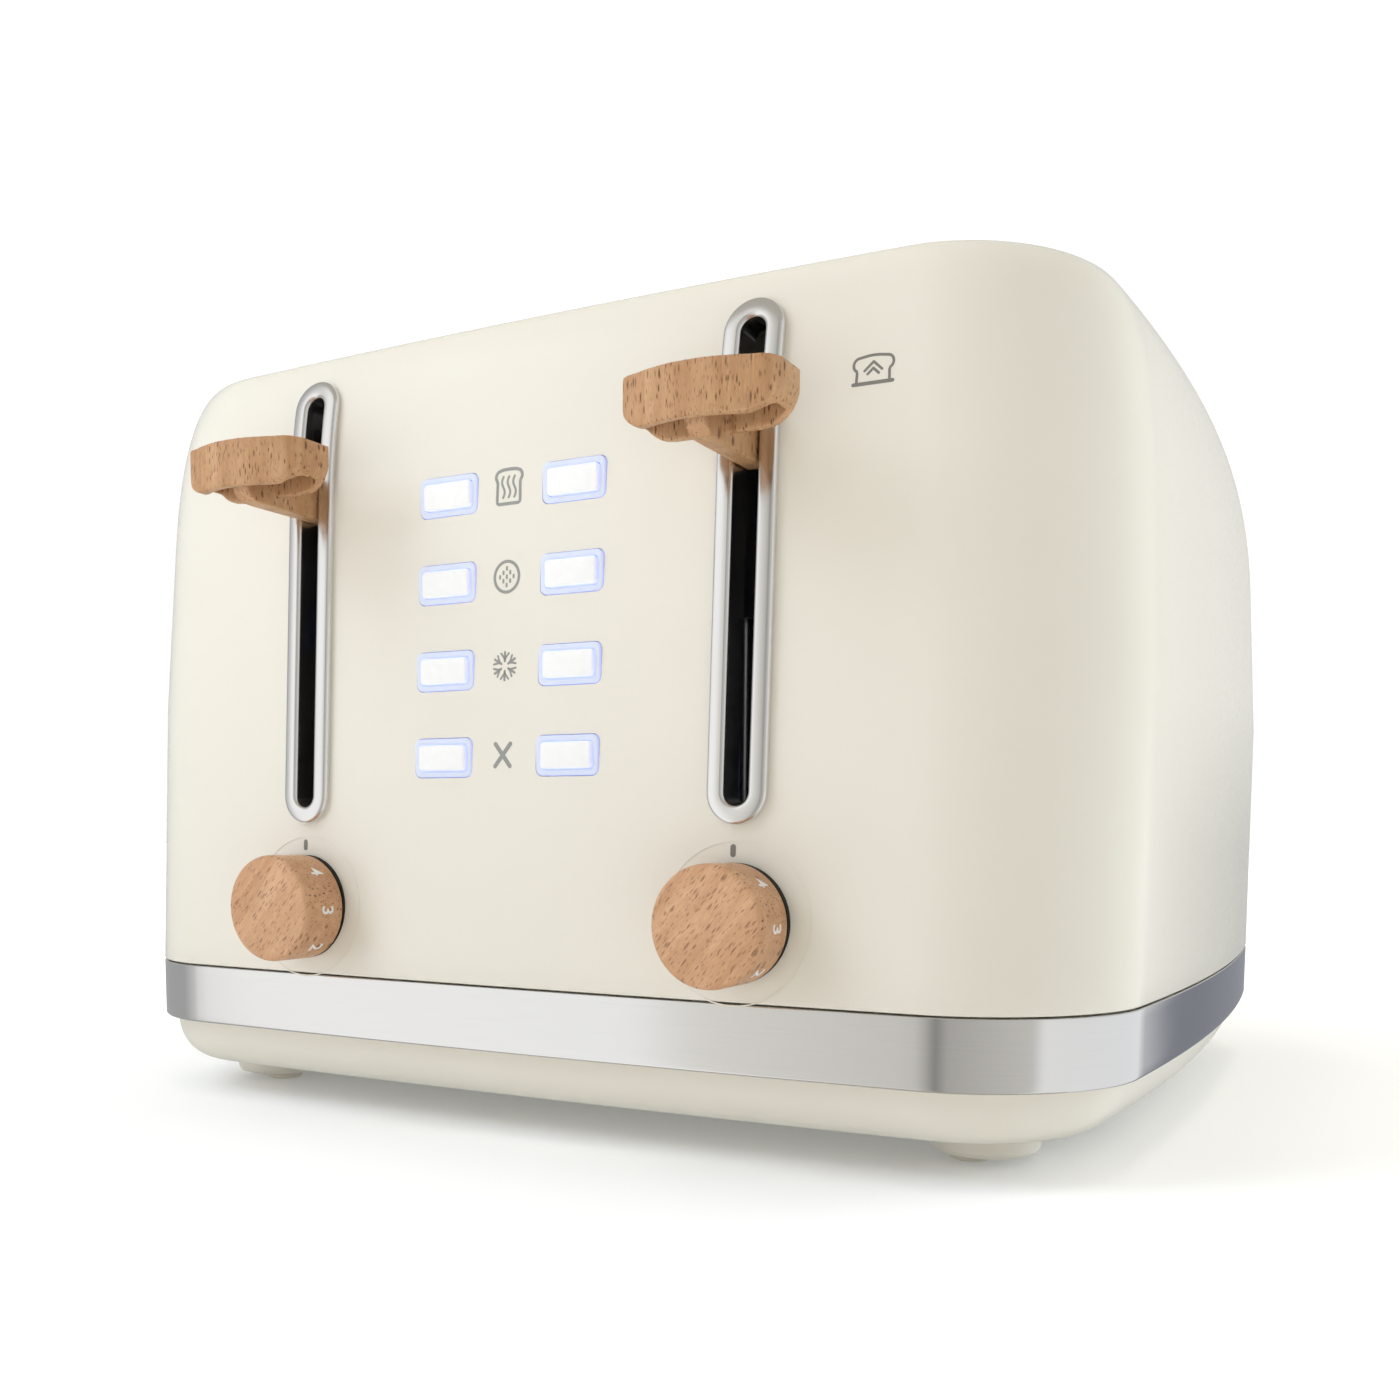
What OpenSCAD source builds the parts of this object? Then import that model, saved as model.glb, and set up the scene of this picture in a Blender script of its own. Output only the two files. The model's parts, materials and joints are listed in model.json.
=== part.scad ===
// Four-slice pop-up toaster: cream shell, steel band, beech levers and dials.
// Millimetres. X runs along the front, -Y is the front, +Z is up, z = 0 is the table.

/* [Body] */
// Width of the body at its lower edge
body_w = 301.5; // [280:0.5:320]
// Depth of the body at its lower edge
body_d = 282; // [270:1:300]
// Height of the body's top face above the table
top_z = 202.5; // [195:0.5:215]
// Radius of the upright corners
corner = 38.2; // [25:1:45]
// Thickness of the plastic walls
wall = 2.5; // [2:0.1:3]

/* [Band and base] */
// Height of the steel band's lower edge
band_z = 21.4; // [20:0.1:24]
// Height of the line between the band and the shell
shell_z = 38; // [36:0.5:40]
// Height of the base's underside
base_z = 8; // [7:0.5:9]
// Radius of each moulded foot
foot_r = 13; // [10:0.5:15]
// Radius of each rubber pad
pad_r = 5; // [4:0.5:7]

/* [Bread slots] */
// Distance from the middle of the toaster to the middle of each pair of slots
pair_x = 64; // [60:0.5:68]
// Distance from the middle of a pair to each of its slots
slot_x = 24; // [22:0.5:26]
// Width of a bread slot
slot_w = 32; // [28:1:34]
// Length of a bread slot
slot_l = 146; // [135:1:150]

/* [Levers] */
// Width of a lever handle
handle_w = 37; // [34:0.2:40]
// Height of a lever handle
handle_h = 11.1; // [10:0.2:13]
// Height of a handle's middle at rest
handle_z = 166; // [162:1:170]
// How far the front of a handle stands from the middle of the body
handle_reach = 164; // [160:1:168]
// Lower end of the lever trims
trim_low = 78; // [75:0.2:82]
// Upper end of the lever trims
trim_high = 194.2; // [190:0.2:196]
// Half the width of a lever trim
trim_r = 7.4; // [6:0.1:8]
// Half the width of the gap inside a lever trim
gap_r = 2.96; // [2.8:0.02:3.2]
// How far the trims stand proud of the shell
trim_proud = 2; // [1:0.1:2.5]

/* [Controls] */
// Radius of a browning dial
knob_r = 13.8; // [12:0.1:15]
// Length of a browning dial
knob_l = 13.5; // [11:0.5:15]
// Height of the dials' axes
knob_z = 55.9; // [54:0.1:58]
// Distance from the middle to each column of buttons
button_x = 18.5; // [17:0.1:20]
// Height of the lowest row of buttons
button_z = 94.5; // [92:0.1:96]
// Distance between rows of buttons
button_pitch = 21.6; // [20:0.05:22]
// Width of a button cap
cap_w = 14.4; // [13:0.1:16]
// Height of a button cap
cap_h = 6.4; // [6:0.1:8]
// Width of the lit ring around a button cap
ring_w = 1.6; // [1:0.1:2]

/* [Hidden] */
$fn = 48;
tiny = 0.01;

// The handles stand out in front, so the body sits back by half of that to centre the whole.
y_shift = (handle_reach - body_d / 2) / 2;

// Shape of the shell
front_bow = 0.0279;
side_bow = 0.0536;
front_lean = 0.0508;
side_lean = 0.0585;
lean_z = 112;
shoulder_z = 155.6;
shoulder_x = 14.3;
shoulder_y = 8.6;
shoulder_p = 2.41;
corner_loss = 0.95;

// Levels of the shell's rings, closer together where the shoulder turns over
levels = 10;

// Shape of the base
base_inset = 3.5;
base_curve = 12;
base_p = 2.2;
base_levels = 6;
band_t = 1.2;
band_gap = 0.4;
neck_top = 45;
neck_gap = 0.3;
neck_low_inset = band_t + neck_gap;
neck_high_inset = wall + 2 * neck_gap;
neck_inner = neck_high_inset + wall;

// Feet: a moulded boss, with its rubber pad a little off centre
boss_x = 112;
boss_y = body_d / 2 - 40;
boss_z = 2;
pad_x = 109;
pad_y = body_d / 2 - 38;

// Screws that hold the base to the chassis floor
screw_x = 126;
screw_y = 56;
middle_screw_y = 84;
screw_places = [for (side = [-1, 0, 1], end = [-1, 1])
    [side * screw_x, end * (side == 0 ? middle_screw_y : screw_y)]];
screw_head_r = 3.5;
screw_r = 1.9;
slot_t = 0.8;

// Cord gland
gland_z = 15;
gland_r = 4.4;
gland_bore_r = 3.2;
flange_r = 5.4;
flange_t = 1.6;
gland_fit = 0.2;

// Rims round the bread slots
rim_w = 2.5;
rim_t = 0.6;
rim_depth = 7;

// Steel inside
plate_t = 1;
plate_y = 98.5;
floor_z = 33;
ceiling_z = 188;
chassis_w = 256;
shield_x = 48;
rack_z = 128;
rack_h = 8;
carriage_y = 112.5;
carriage_t = 1.5;
carriage_w = 60;
carriage_h = 44;
rod_x = 14;
rod_y = 106;
rod_r = 2.5;
rod_play = 0.05;
sleeve_r = 4.5;
sleeve_h = 32;
magnet_top = 53.5;

// Travel left for the carriages' arms in the chassis plates
arm_low = 52;
arm_high = 152;

// Levers
hole_r = 5.4;
collar_r = 5.1;
collar_depth = 6;
handle_depth = 16.2;
handle_sag = 5.5;
handle_wall = 2.2;
handle_corner = 5;
handle_low_corner = 6;
stem_w = 5;
stem_low = 157.8;
stem_back = -129;
tongue_w = 3;
tongue_h = 6;
tongue_z = stem_low + 1.4;
tongue_front = 143;
tongue_fit = 0.1;

// How far the bowed face turns away at a lever
face_turn = atan(2 * front_bow * pair_x * body_d / 2 / pow(body_w / 2, 2));

// Return spring: turns, sides of one turn, radius of the coil and of the wire
spring_turns = 9;
spring_steps = 12;
spring_r = 4;
wire_r = 0.55;

// Controls
shaft_r = 3;
shaft_play = 0.05;
shaft_hole_r = 4.5;
knob_gap = 0.9;
knob_edge = 1.4;
knob_back = -face_y(pair_x, knob_z) + knob_gap;
control_w = 20;
control_front = 133;
control_back = 125;
cap_proud = 1.1;
cap_depth = 7;
ring_gap = 0.2;
board_y = 118.5;
board_t = 1.6;
board_w = 60;
board_h = 96;
switch_d = 3.5;
plunger_d = 1.2;

// Crumb trays
tray_w = 96;
tray_z = 11;
tray_h = 4.5;
tray_t = 0.8;
tray_front = -104;
tray_back = 124;
tray_fit = 0.4;

function clamp01(t) = max(0, min(1, t));
function ease(t, p) = 1 - pow(1 - pow(t, p), 1 / p);
function shoulder(z) = ease(clamp01((z - shoulder_z) / (top_z - shoulder_z)), shoulder_p);
function half_w(z) = body_w / 2 - side_lean * max(z - lean_z, 0) - shoulder_x * shoulder(z);
function half_d(z) = body_d / 2 - front_lean * max(z - shell_z, 0) - shoulder_y * shoulder(z);
function corner_r(z) = corner - corner_loss * shoulder_y * shoulder(z);

// Depth of the front face at a place on it
function face_y(x, z) = -half_d(z) * (1 - front_bow * pow(x / half_w(z) / (1 - side_bow), 2));

// A quarter of a rounded rectangle, from the middle of the front to the middle of the right side
function quarter(a, b, r, nf, na, ns) = concat(
    [for (i = [0 : nf - 1]) [(a - r) * i / nf, -b]],
    [for (i = [0 : na - 1]) [a - r + r * sin(90 * i / na), -b + r - r * cos(90 * i / na)]],
    [for (i = [0 : ns - 1]) [a, -(b - r) * (1 - i / ns)]]
);
function right_half(q, a) = concat(
    q, [[a, 0]], [for (i = [len(q) - 1 : -1 : 1]) [q[i][0], -q[i][1]]]
);
function whole(h) = concat(h, [for (p = h) -p]);
function warp(p, a, b) = [
    p[0] * (1 - side_bow * pow(p[1] / b, 2)),
    p[1] * (1 - front_bow * pow(p[0] / a, 2))
];

// Outline with bowed sides: half width a, half depth b, corner radius r
function bowed(a, b, r) = [
    for (p = whole(right_half(quarter(a, b, r, 4, 6, 4), a))) warp(p, a, b)
];
function body_outline(z, inset) = bowed(
    half_w(z) - inset, half_d(z) - inset, corner_r(z) - inset
);
function raised(points, z) = [for (p = points) [p[0], p[1], z]];

// Triangles between two neighbouring rings of n points, the first starting at point a
function strip(a, b, n) = [
    for (i = [0 : n - 1]) let (j = (i + 1) % n) each [[a + i, b + j, a + j], [a + i, b + i, b + j]]
];
function cap(a, n, up) = up ? [for (i = [n - 1 : -1 : 0]) a + i] : [for (i = [0 : n - 1]) a + i];

// A closed cup, open below: rings up the outside, then rings down the inside
module cup(outside, inside) {
    n = len(outside[0]);
    rings = concat(outside, inside);
    last = len(rings) - 1;
    turn = len(outside) - 1;
    polyhedron(
        points = [for (r = rings) each r],
        faces = concat(
            [for (k = [0 : last - 1]) if (k != turn) each strip(k * n, (k + 1) * n, n)],
            strip(last * n, 0, n),
            [cap(turn * n, n, true), cap((turn + 1) * n, n, false)]
        )
    );
}

// A closed stack of rings, from the lowest to the highest
module stack(rings) {
    n = len(rings[0]);
    last = len(rings) - 1;
    polyhedron(
        points = [for (r = rings) each r],
        faces = concat(
            [for (k = [0 : last - 1]) each strip(k * n, (k + 1) * n, n)],
            [cap(0, n, false), cap(last * n, n, true)]
        )
    );
}

function rounded(w, l, r) = whole(right_half(quarter(w / 2, l / 2, r, 1, 6, 1), w / 2));
module rounded_slab(w, l, r, h) {
    linear_extrude(height = h) polygon(rounded(w, l, r));
}

// A profile drawn in Y and Z, extruded along X about its middle
module across(w) {
    rotate([90, 0, 90]) linear_extrude(height = w, center = true) children();
}

// A profile drawn in X and Z, extruded from y = near to y = far
module along(near, far) {
    translate([0, far, 0]) rotate([90, 0, 0]) linear_extrude(height = far - near) children();
}

// Everything is drawn round the middle of the body, then moved back into place.
module placed() {
    translate([0, y_shift, 0]) children();
}
module on_side(side) {
    translate([side * pair_x, 0, 0]) children();
}

module stadium(r, low, high) {
    translate([-r, low + r]) square([2 * r, high - low - 2 * r]);
    translate([0, low + r]) circle(r);
    translate([0, high - r]) circle(r);
}

function button_height(row) = button_z + button_pitch * row;
module window(w, h, r) {
    polygon(rounded(w, h, r));
}

function level(i) = shell_z + (top_z - shell_z) * sin(90 * i / levels);

module body_shell() {
    inner_top = top_z - wall;
    squeeze = (inner_top - shell_z) / (top_z - shell_z);
    color([0.9, 0.875, 0.81]) placed() difference() {
        cup(
            [for (i = [0 : levels]) let (z = level(i)) raised(body_outline(z, 0), z)],
            [for (i = [levels : -1 : 0]) let (z = level(i))
                raised(body_outline(z, wall), shell_z + (z - shell_z) * squeeze)]
        );
        for (side = [-1, 1], s = [-1, 1])
            translate([side * pair_x + s * slot_x, 0, top_z - 8])
                rounded_slab(slot_w + 1, slot_l + 1, 6.5, 20);
        for (side = [-1, 1]) on_side(side) {
            along(-handle_reach, -125)
                stadium(hole_r, trim_low + trim_r - hole_r, trim_high - trim_r + hole_r);
            along(-handle_reach, -125) translate([0, knob_z]) circle(shaft_hole_r);
        }
        for (side = [-1, 1], row = [0 : 3])
            along(-handle_reach, -125) translate([side * button_x, button_height(row)])
                window(cap_w + 2 * (ring_w + ring_gap), cap_h + 2 * (ring_w + ring_gap), 1.9);
    }
}

module trim_band() {
    color([0.78, 0.78, 0.78]) placed() translate([0, 0, band_z])
        linear_extrude(height = shell_z - band_z - band_gap) difference() {
            polygon(body_outline(shell_z, 0));
            polygon(body_outline(shell_z, band_t));
        }
}

function base_inset_at(z) = base_inset + base_curve * ease((band_z - z) / (band_z - base_z), base_p);
function base_outline(z, inset) = body_outline(shell_z, base_inset_at(z) + inset);
function base_level(i) = base_z + (band_z - base_z) * (1 - cos(90 * i / base_levels));

module tray_mouth() {
    translate([-tray_w / 2 - 1, 100, tray_z - tray_fit])
        cube([tray_w + 2, 60, tray_h + 4 * tray_fit]);
}

module base_outside() {
    step = shell_z - band_gap;
    stack(concat(
        [for (i = [0 : base_levels]) let (z = base_level(i)) raised(base_outline(z, 0), z)],
        [
            raised(body_outline(shell_z, neck_low_inset), band_z + tiny),
            raised(body_outline(shell_z, neck_low_inset), step),
            raised(body_outline(shell_z, neck_high_inset), step + tiny),
            raised(body_outline(shell_z, neck_high_inset), neck_top)
        ]
    ));
    for (side = [-1, 1], end = [-1, 1])
        translate([side * boss_x, end * boss_y, boss_z]) cylinder(r = foot_r, h = 7);
}

module base_inside() {
    half = (base_z + band_z) / 2;
    stack([
        raised(base_outline(base_z + wall, wall), base_z + wall),
        raised(base_outline(half, wall), half),
        raised(body_outline(shell_z, neck_inner + 1), band_z),
        raised(body_outline(shell_z, neck_inner), band_z + 5),
        raised(body_outline(shell_z, neck_inner), neck_top + 1)
    ]);
}

module base_housing() {
    back = body_d / 2 - base_inset_at(gland_z);
    color([0.9, 0.875, 0.81]) placed() difference() {
        base_outside();
        base_inside();
        for (side = [-1, 1]) on_side(side) tray_mouth();
        for (p = screw_places) translate([p[0], p[1], base_z - 1]) {
            cylinder(r = screw_r + 0.3, h = 10);
            cylinder(r = screw_head_r + 0.4, h = 2);
        }
        along(120, 150) translate([0, gland_z]) circle(gland_r + gland_fit);
        along(back - gland_fit, 150) translate([0, gland_z]) circle(flange_r + 2 * gland_fit);
    }
}

module foot_pads() {
    color([0.86, 0.84, 0.78]) placed()
        for (side = [-1, 1], end = [-1, 1])
            translate([side * pad_x, end * pad_y, 0]) cylinder(r = pad_r, h = boss_z);
}

module bread_slot_rims() {
    color([0.8, 0.8, 0.8]) placed()
        for (side = [-1, 1], s = [-1, 1])
            translate([side * pair_x + s * slot_x, 0, 0]) difference() {
                union() {
                    translate([0, 0, top_z])
                        rounded_slab(slot_w + 2 * rim_w, slot_l + 2 * rim_w, 8.5, rim_t);
                    translate([0, 0, top_z - rim_depth])
                        rounded_slab(slot_w + 0.6, slot_l + 0.6, 6.3, rim_depth + tiny);
                }
                translate([0, 0, top_z - rim_depth - 1])
                    rounded_slab(slot_w - 1, slot_l - 1, 5.5, rim_depth + 3);
            }
}

module case_screws() {
    color([0.6, 0.6, 0.62]) placed()
        for (p = screw_places) translate([p[0], p[1], 0]) difference() {
            union() {
                translate([0, 0, base_z - 0.8]) cylinder(r = screw_head_r, h = 1.8);
                translate([0, 0, base_z]) cylinder(r = screw_r, h = floor_z - base_z);
            }
            for (turn = [0, 90]) rotate([0, 0, turn])
                translate([-2.2, -slot_t / 2, base_z - 1]) cube([4.4, slot_t, slot_t]);
        }
}

module cord_gland() {
    back = body_d / 2 - base_inset_at(gland_z);
    color([0.25, 0.25, 0.25]) placed() difference() {
        union() {
            along(back - 8, back + flange_t + 1) translate([0, gland_z]) circle(gland_r);
            along(back, back + flange_t) translate([0, gland_z]) circle(flange_r);
        }
        along(back - 9, back + 4) translate([0, gland_z]) circle(gland_bore_r);
    }
}

// The front face's profile at a lever, moved out by o, and closed behind by depth d
function lever_profile(o, d) = concat(
    [for (i = [0 : 14]) let (z = trim_low - 2 + (trim_high - trim_low + 4) * i / 14)
        [face_y(pair_x, z) - o, z]],
    [for (i = [14 : -1 : 0]) let (z = trim_low - 2 + (trim_high - trim_low + 4) * i / 14)
        [face_y(pair_x, z) + d, z]]
);

// A strip of the face at a lever, turned to lie along the bowed front
module face_strip(side, o, d) {
    y = face_y(pair_x, shoulder_z);
    translate([0, y, 0]) rotate([0, 0, side * face_turn]) translate([0, -y, 0])
        across(4 * trim_r) polygon(lever_profile(o, d));
}

module lever_trim(side) {
    color([0.82, 0.82, 0.82]) placed() on_side(side) difference() {
        union() {
            intersection() {
                along(-handle_reach, -120) stadium(trim_r, trim_low, trim_high);
                face_strip(side, trim_proud, 0);
            }
            intersection() {
                along(-handle_reach, -120)
                    stadium(collar_r, trim_low + trim_r - collar_r, trim_high - trim_r + collar_r);
                face_strip(side, 0.2, collar_depth);
            }
        }
        along(-handle_reach - 1, -119)
            stadium(gap_r, trim_low + trim_r - gap_r, trim_high - trim_r + gap_r);
    }
}

// Handle seen from above: a bowed front between small round ends
function handle_outline(inset) = let (
    a = handle_w / 2 - inset,
    r = handle_corner - inset / 2,
    back = handle_depth - inset,
    end_y = inset + handle_sag * pow((a - r) / a, 2),
    end = [for (i = [1 : 5]) let (t = 90 * i / 5) [a - r + r * sin(t), end_y + r * (1 - cos(t))]]
) concat(
    [for (i = [-6 : 6]) let (x = (a - r) * i / 6) [x, inset + handle_sag * pow(x / a, 2)]],
    end,
    [[a, back], [-a, back]],
    [for (i = [4 : -1 : 0]) [-end[i][0], end[i][1]]]
);

// Handle seen from the front: square upper corners and round lower corners
module handle_front(inset) {
    a = handle_w / 2 - inset;
    r = handle_low_corner;
    translate([-a, handle_z - handle_h / 2 + r]) square([2 * a, handle_h - r]);
    translate([-a + r, handle_z - handle_h / 2]) square([2 * (a - r), r + tiny]);
    for (s = [-1, 1]) translate([s * (a - r), handle_z - handle_h / 2 + r]) circle(r);
}

module lever_handle(side) {
    low = handle_z - handle_h / 2;
    back = -handle_reach + handle_depth;
    color([0.76, 0.58, 0.4]) placed() on_side(side) difference() {
        union() {
            intersection() {
                translate([0, -handle_reach, low]) linear_extrude(height = handle_h)
                    polygon(handle_outline(0));
                along(-handle_reach - 1, -130) handle_front(0);
            }
            across(stem_w) polygon([
                [back - 12.2, low + 1], [back - 11, low - 1.2], [back - 9, stem_low + 0.3],
                [back - 6, stem_low], [stem_back, stem_low], [stem_back, low + 8],
                [back - 12.2, low + 8]
            ]);
        }
        difference() {
            translate([0, -handle_reach, low - 1]) linear_extrude(height = handle_h - handle_wall + 1)
                polygon(handle_outline(handle_wall));
            across(stem_w) square([400, 400], center = true);
        }
        translate([-tongue_w / 2 - tongue_fit, -tongue_front - 0.2, tongue_z - tongue_fit])
            cube([tongue_w + 2 * tongue_fit, 20, tongue_h + 2 * tongue_fit]);
    }
}

module carriage(side) {
    z = rack_z;
    color([0.72, 0.73, 0.75]) placed() on_side(side) difference() {
        union() {
            translate([-carriage_w / 2, -carriage_y, z]) cube([carriage_w, carriage_t, carriage_h]);
            translate([-tongue_w / 2, -tongue_front, tongue_z])
                cube([tongue_w, tongue_front - carriage_y + tiny, tongue_h]);
            for (s = [-1, 1]) translate([s * rod_x, -rod_y, z + 6]) {
                cylinder(r = sleeve_r, h = sleeve_h);
                translate([-2, -carriage_y + carriage_t + rod_y - tiny, 0])
                    cube([4, carriage_y - carriage_t - rod_y, sleeve_h]);
            }
        }
        for (s = [-1, 1]) translate([s * rod_x, -rod_y, z - 1])
            cylinder(r = rod_r + rod_play, h = carriage_h + 2);
    }
}

module bread_racks(side) {
    color([0.72, 0.73, 0.75]) placed() on_side(side)
        for (s = [-1, 1]) translate([s * slot_x, 0, 0]) {
            translate([-1, -carriage_y + carriage_t, rack_z]) cube([2, carriage_y + 102, rack_h]);
            for (i = [-4 : 4]) translate([-11, 17 * i - 1, rack_z + rack_h - 2]) cube([22, 2, 2]);
        }
}

module latch_armature(side) {
    color([0.55, 0.56, 0.58]) placed() on_side(side) {
        translate([-7, -carriage_y + carriage_t, rack_z - 2]) cube([14, 10, 2]);
        translate([-7, -carriage_y + carriage_t, rack_z]) cube([14, 1.2, 5]);
    }
}

module electromagnet(side) {
    color([0.55, 0.35, 0.2]) placed() on_side(side) {
        translate([-7, -112, floor_z + plate_t]) cube([14, 12, 2]);
        for (s = [-1, 1]) translate([s * 4.5 - 2, -109, floor_z + plate_t])
            cube([4, 6, magnet_top - floor_z - plate_t]);
        translate([-7.6, -111, floor_z + plate_t + 3]) cube([15.2, 10, 12]);
    }
}

module guide_rods(side) {
    color([0.8, 0.8, 0.82]) placed() on_side(side)
        for (s = [-1, 1]) translate([s * rod_x, -rod_y, floor_z + plate_t])
            cylinder(r = rod_r, h = ceiling_z - floor_z - plate_t);
}

// One wire wound into a helix: six-sided, with closed ends
module return_spring(side) {
    low = floor_z + plate_t + wire_r + 0.1;
    high = rack_z + 6 - wire_r - 0.1;
    n = spring_turns * spring_steps;
    points = [for (i = [0 : n]) let (a = 360 * i / spring_steps, z = low + (high - low) * i / n)
        for (k = [0 : 5]) let (r = spring_r + wire_r * cos(60 * k))
            [r * cos(a), r * sin(a), z + wire_r * sin(60 * k)]];
    color([0.6, 0.6, 0.62]) placed() on_side(side) translate([side * rod_x, -rod_y, 0])
        polyhedron(points = points, faces = concat(
            [for (i = [0 : n - 1]) each strip(i * 6, (i + 1) * 6, 6)],
            [cap(0, 6, false), cap(n * 6, 6, true)]
        ));
}

module browning_knob(side) {
    color([0.76, 0.58, 0.4]) placed() on_side(side) translate([0, -knob_back, knob_z])
        rotate([90, 0, 0]) difference() {
            rotate_extrude() {
                square([knob_r, knob_l - knob_edge]);
                square([knob_r - knob_edge, knob_l]);
                translate([knob_r - knob_edge, knob_l - knob_edge]) circle(knob_edge);
            }
            translate([0, 0, -1]) cylinder(r = shaft_r + tiny, h = knob_l - 3);
        }
}

module knob_shaft(side) {
    color([0.8, 0.8, 0.82]) placed() on_side(side)
        along(-knob_back - knob_l + 4.2, -124) translate([0, knob_z]) circle(shaft_r);
}

// A rotary control, whose two legs pass beside the magnet to the chassis
module browning_control(side) {
    half = control_w / 2;
    color([0.2, 0.35, 0.3]) placed() on_side(side) difference() {
        union() {
            translate([-half, -control_front, knob_z - half])
                cube([control_w, control_front - control_back, control_w]);
            along(-135.5, -control_front + tiny) translate([0, knob_z]) circle(4.2);
            for (s = [-1, 1]) translate([s * 8.6 - 0.6, -control_back - tiny, knob_z - half])
                cube([1.2, control_back - plate_y - plate_t / 2, 1.6]);
        }
        along(-137, -123.5) translate([0, knob_z]) circle(shaft_r + shaft_play);
    }
}

module button(side, row) {
    x = side * button_x;
    z = button_height(row);
    front = face_y(button_x, z) - cap_proud;
    color([0.97, 0.97, 0.97]) placed() translate([x, 0, z]) {
        along(front, front + cap_depth) window(cap_w, cap_h, 1);
        along(front + cap_depth - tiny, -board_y - switch_d - 2.8) circle(1.5);
    }
}

module button_lights(side) {
    color([0.75, 0.8, 1]) placed()
        for (row = [0 : 3]) let (z = button_height(row), y = face_y(button_x, z))
            translate([side * button_x, 0, z]) along(y - 0.35, y + 4.5) difference() {
                window(cap_w + 2 * ring_w, cap_h + 2 * ring_w, 1.7);
                window(cap_w + 2 * ring_gap, cap_h + 2 * ring_gap, 1.1);
            }
}

module control_board() {
    middle = button_height(1.5);
    color([0.15, 0.4, 0.25]) placed() {
        translate([-board_w / 2, -board_y, middle - board_h / 2]) cube([board_w, board_t, board_h]);
        for (side = [-1, 1], row = [0 : 3]) translate([side * button_x, 0, button_height(row)]) {
            translate([-3, -board_y - switch_d, -3]) cube([6, switch_d + tiny, 6]);
            along(-board_y - switch_d - plunger_d, -board_y - switch_d + tiny) circle(1.6);
        }
    }
}

module control_board_posts() {
    middle = button_height(1.5);
    color([0.85, 0.84, 0.8]) placed()
        for (side = [-1, 1], end = [-1, 1])
            along(-board_y + board_t, -plate_y - plate_t / 2)
                translate([side * 26, middle + end * 42]) circle(2.6);
}

module power_board() {
    color([0.15, 0.4, 0.25]) placed() {
        translate([-36, -124, 23]) cube([72, 18, 1.6]);
        for (s = [-1, 1]) translate([s * 22 - 8, -121, 24.6 - tiny]) cube([16, 12, 7]);
        translate([-6, -119, 24.6 - tiny]) cube([12, 8, 6]);
    }
}

module chassis_floor() {
    color([0.75, 0.75, 0.77]) placed() difference() {
        translate([-chassis_w / 2 - 6, -116, floor_z]) cube([chassis_w + 12, 222, plate_t]);
        for (side = [-1, 1], s = [-1, 1])
            translate([side * pair_x + s * slot_x, 0, floor_z - 1])
                rounded_slab(slot_w, 170, 4, plate_t + 2);
        for (p = screw_places) translate([p[0], p[1], floor_z - 1]) cylinder(r = 2.1, h = 3);
    }
}

module wall_plate(y) {
    color([0.75, 0.75, 0.77]) placed() translate([0, y, 0]) difference() {
        along(-plate_t / 2, plate_t / 2) translate([-chassis_w / 2, floor_z + plate_t])
            square([chassis_w, ceiling_z - floor_z - plate_t]);
        for (side = [-1, 1], s = [-1, 1]) along(-plate_t, plate_t)
            translate([side * pair_x + s * slot_x - 4, arm_low]) square([8, arm_high - arm_low]);
    }
}
module front_chassis_plate() {
    wall_plate(-plate_y);
}
module rear_chassis_plate() {
    wall_plate(plate_y);
}

module top_chassis_plate() {
    color([0.75, 0.75, 0.77]) placed() difference() {
        translate([0, 0, ceiling_z]) rounded_slab(250, 226, 14, plate_t);
        for (side = [-1, 1], s = [-1, 1])
            translate([side * pair_x + s * slot_x, 0, ceiling_z - 1])
                rounded_slab(slot_w, slot_l, 6, plate_t + 2);
    }
}

module heat_shields(side) {
    color([0.75, 0.75, 0.77]) placed() on_side(side)
        for (s = [-1, 1]) translate([s * shield_x - 0.4, -plate_y + plate_t / 2, floor_z + plate_t])
            cube([0.8, 2 * plate_y - plate_t, ceiling_z - floor_z - plate_t]);
}

module heating_elements(side) {
    color([0.85, 0.82, 0.72]) placed() on_side(side)
        for (s = [-1, 1], e = [-1, 1]) translate([s * slot_x + e * 19.5 - 0.5, -88, 48])
            cube([1, 176, 134]);
}

module bread_guides(side) {
    wire = 0.8;
    gap = 16.4;
    color([0.8, 0.8, 0.82]) placed() on_side(side)
        for (s = [-1, 1], e = [-1, 1]) translate([s * slot_x + e * gap, 0, 0]) {
            for (i = [-4 : 4]) translate([0, 17 * i, floor_z + plate_t])
                cylinder(r = wire, h = ceiling_z - floor_z - plate_t);
            for (z = [floor_z + 14, ceiling_z - 6]) translate([0, -72, z]) rotate([-90, 0, 0])
                cylinder(r = wire, h = 144);
        }
}

module crumb_tray(side) {
    inner = tray_w - 2 * tray_t;
    color([0.75, 0.75, 0.77]) placed() on_side(side) {
        difference() {
            translate([-tray_w / 2, tray_front, tray_z])
                cube([tray_w, tray_back - tray_front, tray_h]);
            translate([-inner / 2, tray_front + tray_t, tray_z + tray_t])
                cube([inner, tray_back - tray_front - 2 * tray_t, tray_h]);
        }
        translate([-tray_w / 2, tray_back - tiny, tray_z]) cube([tray_w, 2 * tray_t, tray_h + 1]);
        translate([-18, tray_back, tray_z + 1]) cube([36, body_d / 2 - tray_back - 1, 2]);
    }
}

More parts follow.
